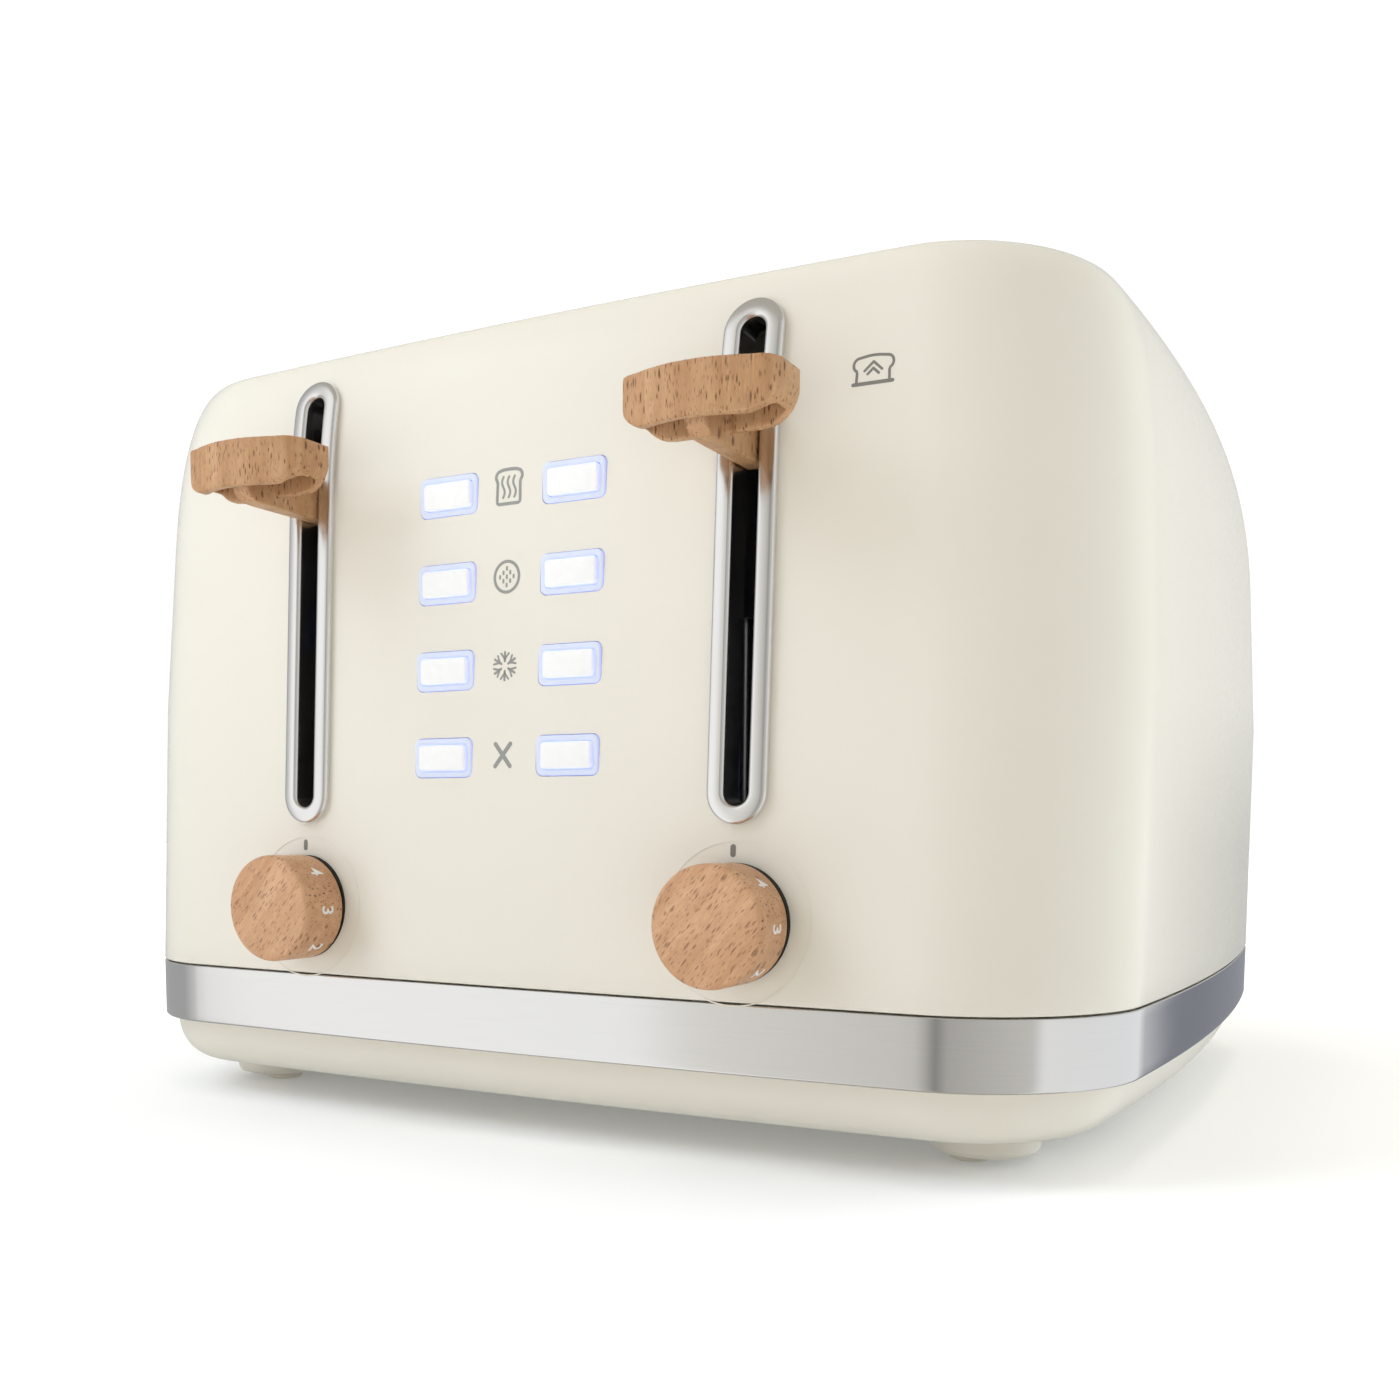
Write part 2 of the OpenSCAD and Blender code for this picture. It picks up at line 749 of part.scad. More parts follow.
body_shell();
trim_band();
base_housing();
foot_pads();
bread_slot_rims();
case_screws();
cord_gland();
lever_trim(-1);  // left_lever_trim
lever_trim(1);  // right_lever_trim
lever_handle(-1);  // left_lever_handle
lever_handle(1);  // right_lever_handle
carriage(-1);  // left_carriage
carriage(1);  // right_carriage
bread_racks(-1);  // left_bread_racks
bread_racks(1);  // right_bread_racks
latch_armature(-1);  // left_latch_armature
latch_armature(1);  // right_latch_armature
electromagnet(-1);  // left_electromagnet
electromagnet(1);  // right_electromagnet
guide_rods(-1);  // left_guide_rods
guide_rods(1);  // right_guide_rods
return_spring(-1);  // left_return_spring
return_spring(1);  // right_return_spring
browning_knob(-1);  // left_browning_knob
browning_knob(1);  // right_browning_knob
knob_shaft(-1);  // left_knob_shaft
knob_shaft(1);  // right_knob_shaft
browning_control(-1);  // left_browning_control
browning_control(1);  // right_browning_control
button(-1, 0);  // left_cancel_button
button(-1, 1);  // left_defrost_button
button(-1, 2);  // left_bagel_button
button(-1, 3);  // left_reheat_button
button(1, 0);  // right_cancel_button
button(1, 1);  // right_defrost_button
button(1, 2);  // right_bagel_button
button(1, 3);  // right_reheat_button
button_lights(-1);  // left_button_lights
button_lights(1);  // right_button_lights
control_board();
control_board_posts();
power_board();
chassis_floor();
front_chassis_plate();
rear_chassis_plate();
top_chassis_plate();
heat_shields(-1);  // left_heat_shields
heat_shields(1);  // right_heat_shields
heating_elements(-1);  // left_heating_elements
heating_elements(1);  // right_heating_elements
bread_guides(-1);  // left_bread_guides
bread_guides(1);  // right_bread_guides
crumb_tray(-1);  // left_crumb_tray
crumb_tray(1);  // right_crumb_tray
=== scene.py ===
"""Four-slice pop-up toaster: its visible surfaces, their materials, the light and the camera.

Metres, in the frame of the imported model. Sizes and places come from the CAD nodes' boxes,
and the ratios that shape the shell are the design's own.
"""
import json
import math

import bmesh
import bpy
from mathutils import Matrix, Vector
from mathutils.bvhtree import BVHTree
from mathutils.interpolate import poly_3d_calc


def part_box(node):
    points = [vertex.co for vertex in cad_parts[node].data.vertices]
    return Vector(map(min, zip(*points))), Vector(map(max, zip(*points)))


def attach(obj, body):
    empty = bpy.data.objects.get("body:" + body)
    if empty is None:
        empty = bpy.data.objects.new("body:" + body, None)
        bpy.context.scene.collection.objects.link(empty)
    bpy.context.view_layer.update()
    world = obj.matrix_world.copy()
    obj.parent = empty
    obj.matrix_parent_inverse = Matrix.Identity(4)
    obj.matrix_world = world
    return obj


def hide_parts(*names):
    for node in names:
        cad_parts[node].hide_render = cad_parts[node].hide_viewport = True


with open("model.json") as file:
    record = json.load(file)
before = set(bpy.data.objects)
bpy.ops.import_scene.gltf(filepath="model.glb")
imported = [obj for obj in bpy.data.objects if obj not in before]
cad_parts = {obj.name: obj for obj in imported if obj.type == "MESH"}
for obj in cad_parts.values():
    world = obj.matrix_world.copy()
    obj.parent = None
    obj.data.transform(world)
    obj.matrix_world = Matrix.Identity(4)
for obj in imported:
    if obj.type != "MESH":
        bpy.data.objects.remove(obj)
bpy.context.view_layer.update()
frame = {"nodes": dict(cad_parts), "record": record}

MM = 0.001
HOUSING = "housing"
SIDES = {"left": -1, "right": 1}
ROWS = ("cancel", "defrost", "bagel", "reheat")

# ---------------------------------------------------------------- sizes from the frame


def middle(node):
    """The middle of a CAD node's box."""
    lo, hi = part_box(node)
    return (Vector(lo) + Vector(hi)) / 2


def extent(node):
    """The size of a CAD node's box."""
    lo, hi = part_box(node)
    return Vector(hi) - Vector(lo)


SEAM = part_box("body_shell")[0][2]
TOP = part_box("body_shell")[1][2]
HALF_W = extent("body_shell").x / 2
HALF_D = extent("body_shell").y / 2
MID_Y = middle("body_shell").y
BAND_LOW, BAND_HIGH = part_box("trim_band")[0][2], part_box("trim_band")[1][2]
PAIR_X = middle("right_lever_trim").x
TRIM_LOW, TRIM_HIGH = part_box("right_lever_trim")[0][2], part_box("right_lever_trim")[1][2]
TRIM_R = extent("right_lever_trim").x / 2
KNOB = middle("right_browning_knob")
KNOB_R = extent("right_browning_knob").x / 2
BOSS_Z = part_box("foot_pads")[1][2]
PAD_R = 5 * MM
PAD_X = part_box("foot_pads")[1][0] - PAD_R
PAD_Y = extent("foot_pads").y / 2 - PAD_R

WALL = 2.5 * MM
FRONT_BOW = 0.0279
SIDE_BOW = 0.0536
FRONT_LEAN = 0.0508
SIDE_LEAN = 0.0585
LEAN_Z = 112 * MM
SHOULDER_Z = 155.6 * MM
SHOULDER_X = 14.3 * MM
SHOULDER_Y = 8.6 * MM
SHOULDER_P = 2.41
CORNER = 38.2 * MM
CORNER_LOSS = 0.95
BASE_Z = 8 * MM
BASE_INSET = 3.5 * MM
BASE_CURVE = 12 * MM
BASE_P = 2.2
BAND_T = 1.2 * MM
NECK_INSET = 3.1 * MM
NECK_TOP = 45 * MM

# ---------------------------------------------------------------- the shape of the shell


def ease(t, p):
    """A superellipse's fall from 0 to 1: slow first, steep last."""
    return 1 - (1 - t**p) ** (1 / p)


def shoulder(z):
    """How far the shell has rounded over at height z, from 0 to 1."""
    return ease(min(1.0, max(0.0, (z - SHOULDER_Z) / (TOP - SHOULDER_Z))), SHOULDER_P)


def half_w(z):
    return HALF_W - SIDE_LEAN * max(z - LEAN_Z, 0) - SHOULDER_X * shoulder(z)


def half_d(z):
    return HALF_D - FRONT_LEAN * max(z - SEAM, 0) - SHOULDER_Y * shoulder(z)


def corner_r(z):
    return CORNER - CORNER_LOSS * SHOULDER_Y * shoulder(z)


def quarter(a, b, r, flat=26, turn=22):
    """Front middle to right middle of a rounded rectangle with half sizes a and b."""
    front = [((a - r) * i / flat, -b) for i in range(flat)]
    angles = [math.pi / 2 * i / turn for i in range(turn)]
    corner = [(a - r + r * math.sin(t), -b + r - r * math.cos(t)) for t in angles]
    side = [(a, -(b - r) * (1 - i / flat)) for i in range(flat)]
    return front + corner + side


def plan(z, inset=0.0):
    """The shell's outline at height z, moved in by inset, as (x, y) about the middle."""
    a, b, r = half_w(z) - inset, half_d(z) - inset, corner_r(z) - inset
    q = quarter(a, b, r)
    half = q + [(a, 0.0)] + [(x, -y) for x, y in reversed(q[1:])]
    points = half + [(-x, -y) for x, y in half]
    return [(x * (1 - SIDE_BOW * (y / b) ** 2), y * (1 - FRONT_BOW * (x / a) ** 2)) for x, y in points]


def at_height(points, z):
    return [Vector((x, y + MID_Y, z)) for x, y in points]


def face_point(x, z):
    """The point of the shell's front face at x and z."""
    share = x / half_w(z) / (1 - SIDE_BOW)
    return Vector((x, MID_Y - half_d(z) * (1 - FRONT_BOW * share**2), z))


def on_face(x, z, height=0.0):
    """A point above the front face by height, measured square to it."""
    step = 0.2 * MM
    across = face_point(x + step, z) - face_point(x - step, z)
    up = face_point(x, z + step) - face_point(x, z - step)
    return face_point(x, z) + across.cross(up).normalized() * height


# ---------------------------------------------------------------- making meshes


class Shape:
    """A mesh in the making: rings of points joined by quads."""

    def __init__(self):
        self.points = []
        self.faces = []

    def ring(self, points):
        first = len(self.points)
        self.points.extend(points)
        return list(range(first, len(self.points)))

    def join(self, a, b):
        for i in range(len(a)):
            j = (i + 1) % len(a)
            self.faces.append((a[i], a[j], b[j], b[i]))

    def tube(self, rings, closed=False):
        """Rings joined in order; the last meets the first if closed, else both ends are capped."""
        ids = [self.ring(points) for points in rings]
        for a, b in zip(ids, ids[1:]):
            self.join(a, b)
        if closed:
            self.join(ids[-1], ids[0])
        else:
            self.faces.append(tuple(reversed(ids[0])))
            self.faces.append(tuple(ids[-1]))
        return self

    def build(self, name):
        mesh = bpy.data.meshes.new(name)
        mesh.from_pydata(self.points, [], self.faces)
        work = bmesh.new()
        work.from_mesh(mesh)
        bmesh.ops.recalc_face_normals(work, faces=work.faces)
        work.to_mesh(mesh)
        work.free()
        piece = bpy.data.objects.new(name, mesh)
        bpy.context.scene.collection.objects.link(piece)
        return piece


def apply_modifiers(piece):
    bpy.context.view_layer.update()
    graph = bpy.context.evaluated_depsgraph_get()
    made = bpy.data.meshes.new_from_object(piece.evaluated_get(graph))
    piece.modifiers.clear()
    piece.data = made


def combine(piece, other, operation):
    """Changes piece by a boolean with other, which is used up."""
    step = piece.modifiers.new("combine", "BOOLEAN")
    step.object = other
    step.operation = operation
    step.solver = "EXACT"
    apply_modifiers(piece)
    bpy.data.objects.remove(other)


def dress(piece, look, body=HOUSING, stands_for=(), angle=30):
    """Shades a piece smooth, gives it its material and lets it ride on its body."""
    piece.data.materials.clear()
    piece.data.materials.append(look)
    for face in piece.data.polygons:
        face.use_smooth = True
        face.material_index = 0
    piece.data.set_sharp_from_angle(angle=math.radians(angle))
    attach(piece, body)
    if stands_for:
        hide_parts(*stands_for)
    return piece


def rounded_rect(w, h, r, turn=8):
    """A rounded rectangle about the origin, as (u, v)."""
    u, v = w / 2 - r, h / 2 - r
    corners = ((u, -v), (u, v), (-u, v), (-u, -v))
    points = []
    for k, (u, v) in enumerate(corners):
        for i in range(turn + 1):
            t = math.pi / 2 * (k - 1 + i / turn)
            points.append((u + r * math.cos(t), v + r * math.sin(t)))
    return points


def stadium(r, low, high, turn=28, straight=60):
    """An upright slot outline with round ends, as (u, z)."""
    rise = [low + r + (high - low - 2 * r) * i / straight for i in range(1, straight)]
    over = [math.pi * i / turn for i in range(turn + 1)]
    points = [(r, z) for z in rise]
    points += [(r * math.cos(t), high - r + r * math.sin(t)) for t in over]
    points += [(-r, z) for z in reversed(rise)]
    points += [(-r * math.cos(t), low + r - r * math.sin(t)) for t in over]
    return points


def along_y(shape, outline, x, z, near, far):
    """Adds an outline drawn in X and Z, extruded from y = near to y = far."""
    shape.tube([[Vector((x + u, y, z + v)) for u, v in outline] for y in (near, far)])


def lathe(shape, profile, centre, axis, n=96):
    """Adds a turned solid: profile holds (radius, distance along axis), from its back to its front."""
    axis = Vector(axis)
    side = axis.orthogonal().normalized()
    up = axis.cross(side)
    rings = []
    for r, d in profile:
        turn = [2 * math.pi * i / n for i in range(n)]
        rings.append([centre + axis * d + side * (r * math.cos(t)) + up * (r * math.sin(t)) for t in turn])
    shape.tube(rings)


def arc(cu, cv, ru, rv, start, end, n=12):
    """Points on an ellipse from one angle to another, in degrees."""
    turn = [math.radians(start + (end - start) * i / n) for i in range(n + 1)]
    return [(cu + ru * math.cos(t), cv + rv * math.sin(t)) for t in turn]


# ---------------------------------------------------------------- materials


class Look:
    """A procedural material in the making."""

    def __init__(self, name, colour, roughness, **sockets):
        self.material = bpy.data.materials.new(name)
        self.material.use_nodes = True
        self.tree = self.material.node_tree
        self.shader = self.tree.nodes["Principled BSDF"]
        self.shader.inputs["Base Color"].default_value = (*colour, 1)
        self.shader.inputs["Roughness"].default_value = roughness
        for socket, value in sockets.items():
            self.shader.inputs[socket.replace("_", " ")].default_value = value

    def node(self, kind, **inputs):
        made = self.tree.nodes.new(kind)
        for socket, value in inputs.items():
            target = made.inputs[socket.replace("_", " ")]
            if isinstance(value, bpy.types.NodeSocket):
                self.tree.links.new(value, target)
            else:
                target.default_value = value
        return made

    def link(self, source, socket):
        self.tree.links.new(source, self.shader.inputs[socket])

    def place(self, scale=(1, 1, 1), turn=(0, 0, 0)):
        """Object coordinates in millimetres, turned and then stretched."""
        source = self.node("ShaderNodeTexCoord").outputs["Object"]
        turned = self.node("ShaderNodeMapping", Vector=source, Rotation=turn).outputs[0]
        in_mm = tuple(s / MM for s in scale)
        return self.node("ShaderNodeMapping", Vector=turned, Scale=in_mm).outputs[0]

    def noise(self, place, detail=3.0, roughness=0.5, distortion=0.0):
        return self.node(
            "ShaderNodeTexNoise",
            Vector=place,
            Scale=1.0,
            Detail=detail,
            Roughness=roughness,
            Distortion=distortion,
        ).outputs["Fac"]

    def spread(self, source, low, high, to_low=0.0, to_high=1.0):
        made = self.node("ShaderNodeMapRange")
        self.tree.links.new(source, made.inputs["Value"])
        for socket, value in zip(("From Min", "From Max", "To Min", "To Max"), (low, high, to_low, to_high)):
            made.inputs[socket].default_value = value
        return made.outputs[0]

    def blend(self, share, a, b):
        """Colour a to colour b by share; a and b are colours or sockets."""
        made = self.tree.nodes.new("ShaderNodeMix")
        made.data_type = "RGBA"
        self.tree.links.new(share, made.inputs["Factor"])
        for socket, value in (("A", a), ("B", b)):
            target = [s for s in made.inputs if s.name == socket and s.type == "RGBA"][0]
            if isinstance(value, bpy.types.NodeSocket):
                self.tree.links.new(value, target)
            else:
                target.default_value = (*value, 1)
        return [s for s in made.outputs if s.type == "RGBA"][0]

    def maths(self, operation, a, b):
        made = self.tree.nodes.new("ShaderNodeMath")
        made.operation = operation
        for socket, value in zip(made.inputs, (a, b)):
            if isinstance(value, bpy.types.NodeSocket):
                self.tree.links.new(value, socket)
            else:
                socket.default_value = value
        return made.outputs[0]

    def bump(self, source, height_mm, strength=1.0):
        made = self.node("ShaderNodeBump", Height=source, Strength=strength, Distance=height_mm * MM)
        self.link(made.outputs[0], "Normal")


def tinted(colour, by):
    return tuple(min(1.0, c * by) for c in colour)


def moulded(name, colour, roughness, speck=0.03, bump=0.01, grain=1.2, **sockets):
    """Moulded plastic or enamel: faint mottling and a fine orange-peel surface."""
    look = Look(name, colour, roughness, **sockets)
    mottle = look.noise(look.place((0.02, 0.02, 0.02)))
    shade = look.blend(look.spread(mottle, 0.3, 0.7), tinted(colour, 1 - speck), tinted(colour, 1 + speck))
    look.link(shade, "Base Color")
    peel = look.noise(look.place((grain, grain, grain)), detail=2.0)
    look.link(look.spread(peel, 0.2, 0.8, roughness * 0.85, roughness * 1.15), "Roughness")
    look.bump(peel, bump)
    return look.material


def brushed(name, colour, roughness, lines, dark, bump=0.004, **sockets):
    """Brushed steel: lines gives the stretch of the brush marks along X, Y and Z, per millimetre."""
    look = Look(name, colour, roughness, Metallic=1.0, **sockets)
    marks = look.noise(look.place(lines), detail=4.0, roughness=0.7)
    cloud = look.noise(look.place((0.03, 0.03, 0.03)))
    shade = look.blend(look.spread(marks, 0.25, 0.75), tinted(colour, dark), colour)
    look.link(shade, "Base Color")
    uneven = look.maths("ADD", marks, cloud)
    look.link(look.spread(uneven, 0.7, 1.3, roughness * 0.8, roughness * 1.25), "Roughness")
    look.bump(marks, bump)
    return look.material


def flecks(look, turn, ground, deep, sizes, size, depth):
    """Darkens a ground colour with thin flecks, which lie along the grain and run into the wood."""
    along, inward, across = sizes
    place = look.place((1 / along, 1 / inward, 1 / across), turn)
    wander = look.node("ShaderNodeTexNoise", Vector=place, Scale=1.7, Detail=2.0).outputs["Color"]
    nudge = look.node("ShaderNodeMapping", Vector=wander, Scale=(0.3, 0.3, 0.3)).outputs[0]
    shifted = look.tree.nodes.new("ShaderNodeVectorMath")
    look.tree.links.new(place, shifted.inputs[0])
    look.tree.links.new(nudge, shifted.inputs[1])
    cells = look.node("ShaderNodeTexVoronoi", Vector=shifted.outputs[0], Scale=1.0)
    parts = look.node("ShaderNodeSeparateColor", Color=cells.outputs["Color"])
    reach = look.spread(parts.outputs[0], 0.0, 1.0, 0.8, 1.8)
    far = look.maths("MULTIPLY", cells.outputs["Distance"], reach)
    strength = look.spread(parts.outputs[1], 0.0, 1.0, depth * 0.45, depth)
    mask = look.maths("MULTIPLY", look.spread(far, size * 0.5, size, 1.0, 0.0), strength)
    return look.blend(mask, ground, deep), mask


def beech(name, turn, light, mid, deep):
    """Oiled beech: the grain runs along the axis that turn brings onto X."""
    look = Look(name, mid, 0.45, Specular_IOR_Level=0.35)
    bands = look.noise(look.place((0.03, 0.2, 0.30), turn), detail=4.0, roughness=0.55, distortion=0.8)
    patches = look.noise(look.place((0.10, 0.10, 0.13), turn), detail=3.0)
    fibres = look.noise(look.place((0.45, 3.0, 6.0), turn), detail=3.0, roughness=0.7)
    ground = look.blend(look.spread(bands, 0.34, 0.66), mid, light)
    ground = look.blend(look.spread(patches, 0.45, 0.75, 0.0, 0.45), ground, tinted(mid, 0.88))
    ground = look.blend(look.spread(fibres, 0.40, 0.70, 0.0, 0.55), ground, tinted(mid, 0.72))
    ground, long_marks = flecks(look, turn, ground, deep, (3.4, 1.5, 0.80), 0.36, 1.0)
    ground, fine_marks = flecks(look, turn, ground, deep, (2.2, 1.1, 0.45), 0.32, 0.7)
    look.link(ground, "Base Color")
    pores = look.maths("ADD", long_marks, fine_marks)
    relief = look.maths("SUBTRACT", look.maths("MULTIPLY", fibres, 0.35), pores)
    look.bump(relief, 0.05, 0.6)
    look.link(look.spread(fibres, 0.2, 0.8, 0.38, 0.52), "Roughness")
    return look.material


def lit(name, colour, glow, side_glow, strength):
    """Translucent plastic lit from behind: its walls glow in a colour of their own, its inner end not."""
    look = Look(name, colour, 0.3)
    cloud = look.noise(look.place((0.5, 0.5, 0.5)), detail=3.0)
    shade = look.blend(look.spread(cloud, 0.3, 0.7), tinted(glow, 0.96), glow)
    look.link(look.blend(look.spread(cloud, 0.3, 0.7), tinted(colour, 0.97), colour), "Base Color")
    normal = look.node("ShaderNodeTexCoord").outputs["Normal"]
    facing = look.node("ShaderNodeSeparateXYZ", Vector=normal).outputs["Y"]
    shade = look.blend(look.spread(facing, -0.75, -0.97), side_glow, shade)
    depth = look.node("ShaderNodeSeparateXYZ", Vector=look.place()).outputs["Y"]
    inside = look.spread(depth, KEY_FACE / MM + 2, KEY_FACE / MM + 4)
    look.link(look.blend(inside, shade, (0, 0, 0)), "Emission Color")
    look.shader.inputs["Emission Strength"].default_value = strength
    look.bump(cloud, 0.01)
    return look.material


KEY_FACE = face_point(0, (middle("left_cancel_button").z + middle("left_reheat_button").z) / 2).y
ACROSS, AROUND, UPRIGHT = (0.06, 0.06, 9.0), (0.5, 0.5, 6.0), (7.0, 7.0, 0.08)
GRAIN_UP = (0, math.radians(90), 0)
GRAIN_SLANT = (0, math.radians(50), 0)

CREAM = moulded(
    "cream_enamel", (0.77, 0.735, 0.645), 0.2, speck=0.006, bump=0.002, grain=0.8,
    Coat_Weight=0.12, Coat_Roughness=0.08, Specular_IOR_Level=0.4,
)
CREAM_BASE = moulded("cream_plastic", (0.77, 0.735, 0.645), 0.34, speck=0.008, bump=0.004, grain=1.6)
PAD = moulded("pad_rubber", (0.74, 0.70, 0.60), 0.6, speck=0.03, bump=0.03, grain=3.0)
BAND_STEEL = brushed(
    "band_steel", (0.82, 0.82, 0.82), 0.15, ACROSS, dark=0.94, bump=0.0008,
    Anisotropic=0.9, Anisotropic_Rotation=0.25,
)
TRIM_STEEL = brushed("trim_steel", (0.86, 0.86, 0.86), 0.22, UPRIGHT, dark=0.96, bump=0.0003)
HANDLE_BEECH = beech(
    "handle_beech", GRAIN_UP, (0.60, 0.36, 0.19), (0.47, 0.25, 0.115), (0.13, 0.052, 0.02)
)
DIAL_BEECH = beech(
    "dial_beech", GRAIN_SLANT, (0.70, 0.42, 0.245), (0.57, 0.31, 0.16), (0.20, 0.085, 0.04)
)
BLUE_GLOW = (0.30, 0.38, 1.0)
CAP = lit("key_cap", (0.84, 0.84, 0.83), (0.10, 0.10, 0.10), BLUE_GLOW, 0.45)
RING = lit("key_ring", (0.62, 0.66, 0.78), (0.14, 0.17, 0.22), BLUE_GLOW, 0.45)
PRINT = moulded("print_ink", (0.20, 0.19, 0.17), 0.5, speck=0.05, bump=0.004, grain=6.0)
SOFT_PRINT = moulded("soft_print_ink", (0.29, 0.29, 0.27), 0.5, speck=0.05, bump=0.004, grain=6.0)
# Near black: painted shade for the gap behind each dial.
PAINTED_GAP_SHADE = moulded("painted_gap_shade", (0.012, 0.009, 0.006), 0.7, speck=0.2, bump=0.01, grain=2.0)
DIGIT = moulded("dial_ink", (0.86, 0.85, 0.83), 0.5, speck=0.03, bump=0.004, grain=6.0)

CAD_LOOKS = {
    "steel_trim": TRIM_STEEL,
    "rubber_pad": PAD,
    "dark_plastic": moulded("dark_plastic", (0.035, 0.035, 0.036), 0.45, speck=0.1, bump=0.02, grain=2.0),
    "zinc_steel": brushed("zinc_steel", (0.50, 0.51, 0.53), 0.34, AROUND, dark=0.8),
    "spring_steel": brushed("spring_steel", (0.42, 0.42, 0.44), 0.25, AROUND, dark=0.8),
    "copper_coil": moulded("copper_coil", (0.42, 0.17, 0.07), 0.35, speck=0.1, bump=0.08, grain=3.0),
    "circuit_board": moulded("circuit_board", (0.03, 0.16, 0.07), 0.35, speck=0.15, bump=0.02, grain=2.0),
    "post_plastic": moulded("post_plastic", (0.66, 0.63, 0.55), 0.5, speck=0.04),
    "mica": moulded("mica", (0.52, 0.44, 0.31), 0.5, speck=0.14, bump=0.03, grain=0.7),
    "control_body": moulded("control_body", (0.05, 0.11, 0.1), 0.5, speck=0.08),
}

# ---------------------------------------------------------------- camera


def make_camera():
    data = bpy.data.cameras.new("camera")
    camera = bpy.data.objects.new("camera", data)
    bpy.context.scene.collection.objects.link(camera)
    turned, tipped, rolled = math.radians(27.778), math.radians(5.139), math.radians(0.361)
    level_aim = Vector((-math.sin(turned), math.cos(turned), 0))
    aim = level_aim * math.cos(tipped) - Vector((0, 0, math.sin(tipped)))
    level = aim.cross(Vector((0, 0, 1))).normalized()
    right = level * math.cos(rolled) + level.cross(aim) * math.sin(rolled)
    axes = Matrix((right, right.cross(aim), -aim)).transposed()
    camera.location = (0.20122, -0.40469, 0.07663)
    camera.rotation_euler = axes.to_euler()
    data.sensor_fit = "VERTICAL"
    data.sensor_height = 36
    data.sensor_width = 30
    data.lens = 35.333
    data.shift_y = 0.1819
    data.clip_start = 0.01
    bpy.context.scene.camera = camera


# ---------------------------------------------------------------- casing


def shell_solid():
    """The shell before its openings are cut: a cup, open below, with a softened lower edge."""
    levels, soft = 84, 0.5 * MM
    heights = [SEAM + (TOP - SEAM) * math.sin(math.pi / 2 * i / levels) for i in range(1, levels + 1)]
    rings = [at_height(plan(SEAM, soft), SEAM), at_height(plan(SEAM, soft * 0.3), SEAM + soft * 0.3)]
    rings += [at_height(plan(SEAM + soft), SEAM + soft)]
    rings += [at_height(plan(z), z) for z in heights[1:]]
    squeeze = (TOP - WALL - SEAM) / (TOP - SEAM)
    coarse = [SEAM] + heights[3::4]
    inner = [at_height(plan(z, WALL), SEAM + (z - SEAM) * squeeze) for z in reversed(coarse)]
    shape = Shape()
    outside = [shape.ring(r) for r in rings]
    inside = [shape.ring(r) for r in inner]
    for a, b in list(zip(outside, outside[1:])) + list(zip(inside, inside[1:])):
        shape.join(a, b)
    shape.join(inside[-1], outside[0])
    shape.faces.append(tuple(outside[-1]))
    shape.faces.append(tuple(reversed(inside[0])))
    return shape.build("shell")


def bread_slots():
    """The middle of each bread slot, from the stated openings."""
    boxes = [o["box_m"] for o in frame["record"]["physics"]["openings"] if "bread_slot" in o["name"]]
    return [((lo[0] + hi[0]) / 2, (lo[1] + hi[1]) / 2) for lo, hi in boxes]


SLOT_W = 32 * MM
SLOT_L = extent("bread_slot_rims").y - 5 * MM
SLOT_R = 6 * MM
KEY_W = extent("right_cancel_button").x
KEY_H = extent("right_cancel_button").z
KEY_RING = 1.6 * MM
KEY_GAP = 0.2 * MM
HOLE_R = 5.4 * MM
SHAFT_HOLE_R = 4.5 * MM


def shell_cutters():
    """The openings of the shell: bread slots, lever gaps, shaft holes and key windows."""
    shape = Shape()
    front, behind = MID_Y - HALF_D - 20 * MM, MID_Y - HALF_D + 18 * MM
    for x, y in bread_slots():
        outline = rounded_rect(SLOT_W + MM, SLOT_L + MM, SLOT_R + 0.5 * MM)
        shape.tube([[Vector((x + u, y + v, z)) for u, v in outline] for z in (TOP - 9 * MM, TOP + 9 * MM)])
    for side, sign in SIDES.items():
        reach = TRIM_R - HOLE_R
        outline = stadium(HOLE_R, TRIM_LOW + reach, TRIM_HIGH - reach, straight=2)
        along_y(shape, outline, sign * PAIR_X, 0, front, behind)
        hole = arc(0, 0, SHAFT_HOLE_R, SHAFT_HOLE_R, 0, 350, 35)
        along_y(shape, hole, sign * PAIR_X, KNOB.z, front, behind)
        for row in ROWS:
            place = middle(f"{side}_{row}_button")
            grow = 2 * (KEY_RING + KEY_GAP)
            outline = rounded_rect(KEY_W + grow, KEY_H + grow, 1.9 * MM)
            along_y(shape, outline, place.x, place.z, front, behind)
    return shape.build("cutters")


def keep_curvature(piece, smooth):
    """Gives the cut surface the normals of the surface before it was cut."""
    source = smooth.data
    points = [v.co.copy() for v in source.vertices]
    normals = [v.normal.copy() for v in source.vertices]
    faces = [tuple(f.vertices) for f in source.polygons]
    tree = BVHTree.FromPolygons(points, faces)
    near = 0.05 * MM
    chosen = [Vector((0, 0, 0))] * len(piece.data.loops)
    for face in piece.data.polygons:
        spot, normal, _, gap = tree.find_nearest(face.center)
        if gap > near or normal.dot(face.normal) < 0.95:
            continue
        for corner in face.loop_indices:
            at = piece.data.vertices[piece.data.loops[corner].vertex_index].co
            spot, _, index, gap = tree.find_nearest(at)
            ids = faces[index]
            if gap > near or len(ids) > 4:
                continue
            shares = poly_3d_calc([points[i] for i in ids], spot)
            chosen[corner] = sum((normals[i] * s for i, s in zip(ids, shares)), Vector()).normalized()
    piece.data.normals_split_custom_set(chosen)


def make_shell():
    shell = shell_solid()
    smooth = shell_solid()
    combine(shell, shell_cutters(), "DIFFERENCE")
    shell.name = "shell"
    dress(shell, CREAM, stands_for=["body_shell"], angle=40)
    keep_curvature(shell, smooth)
    bpy.data.objects.remove(smooth)


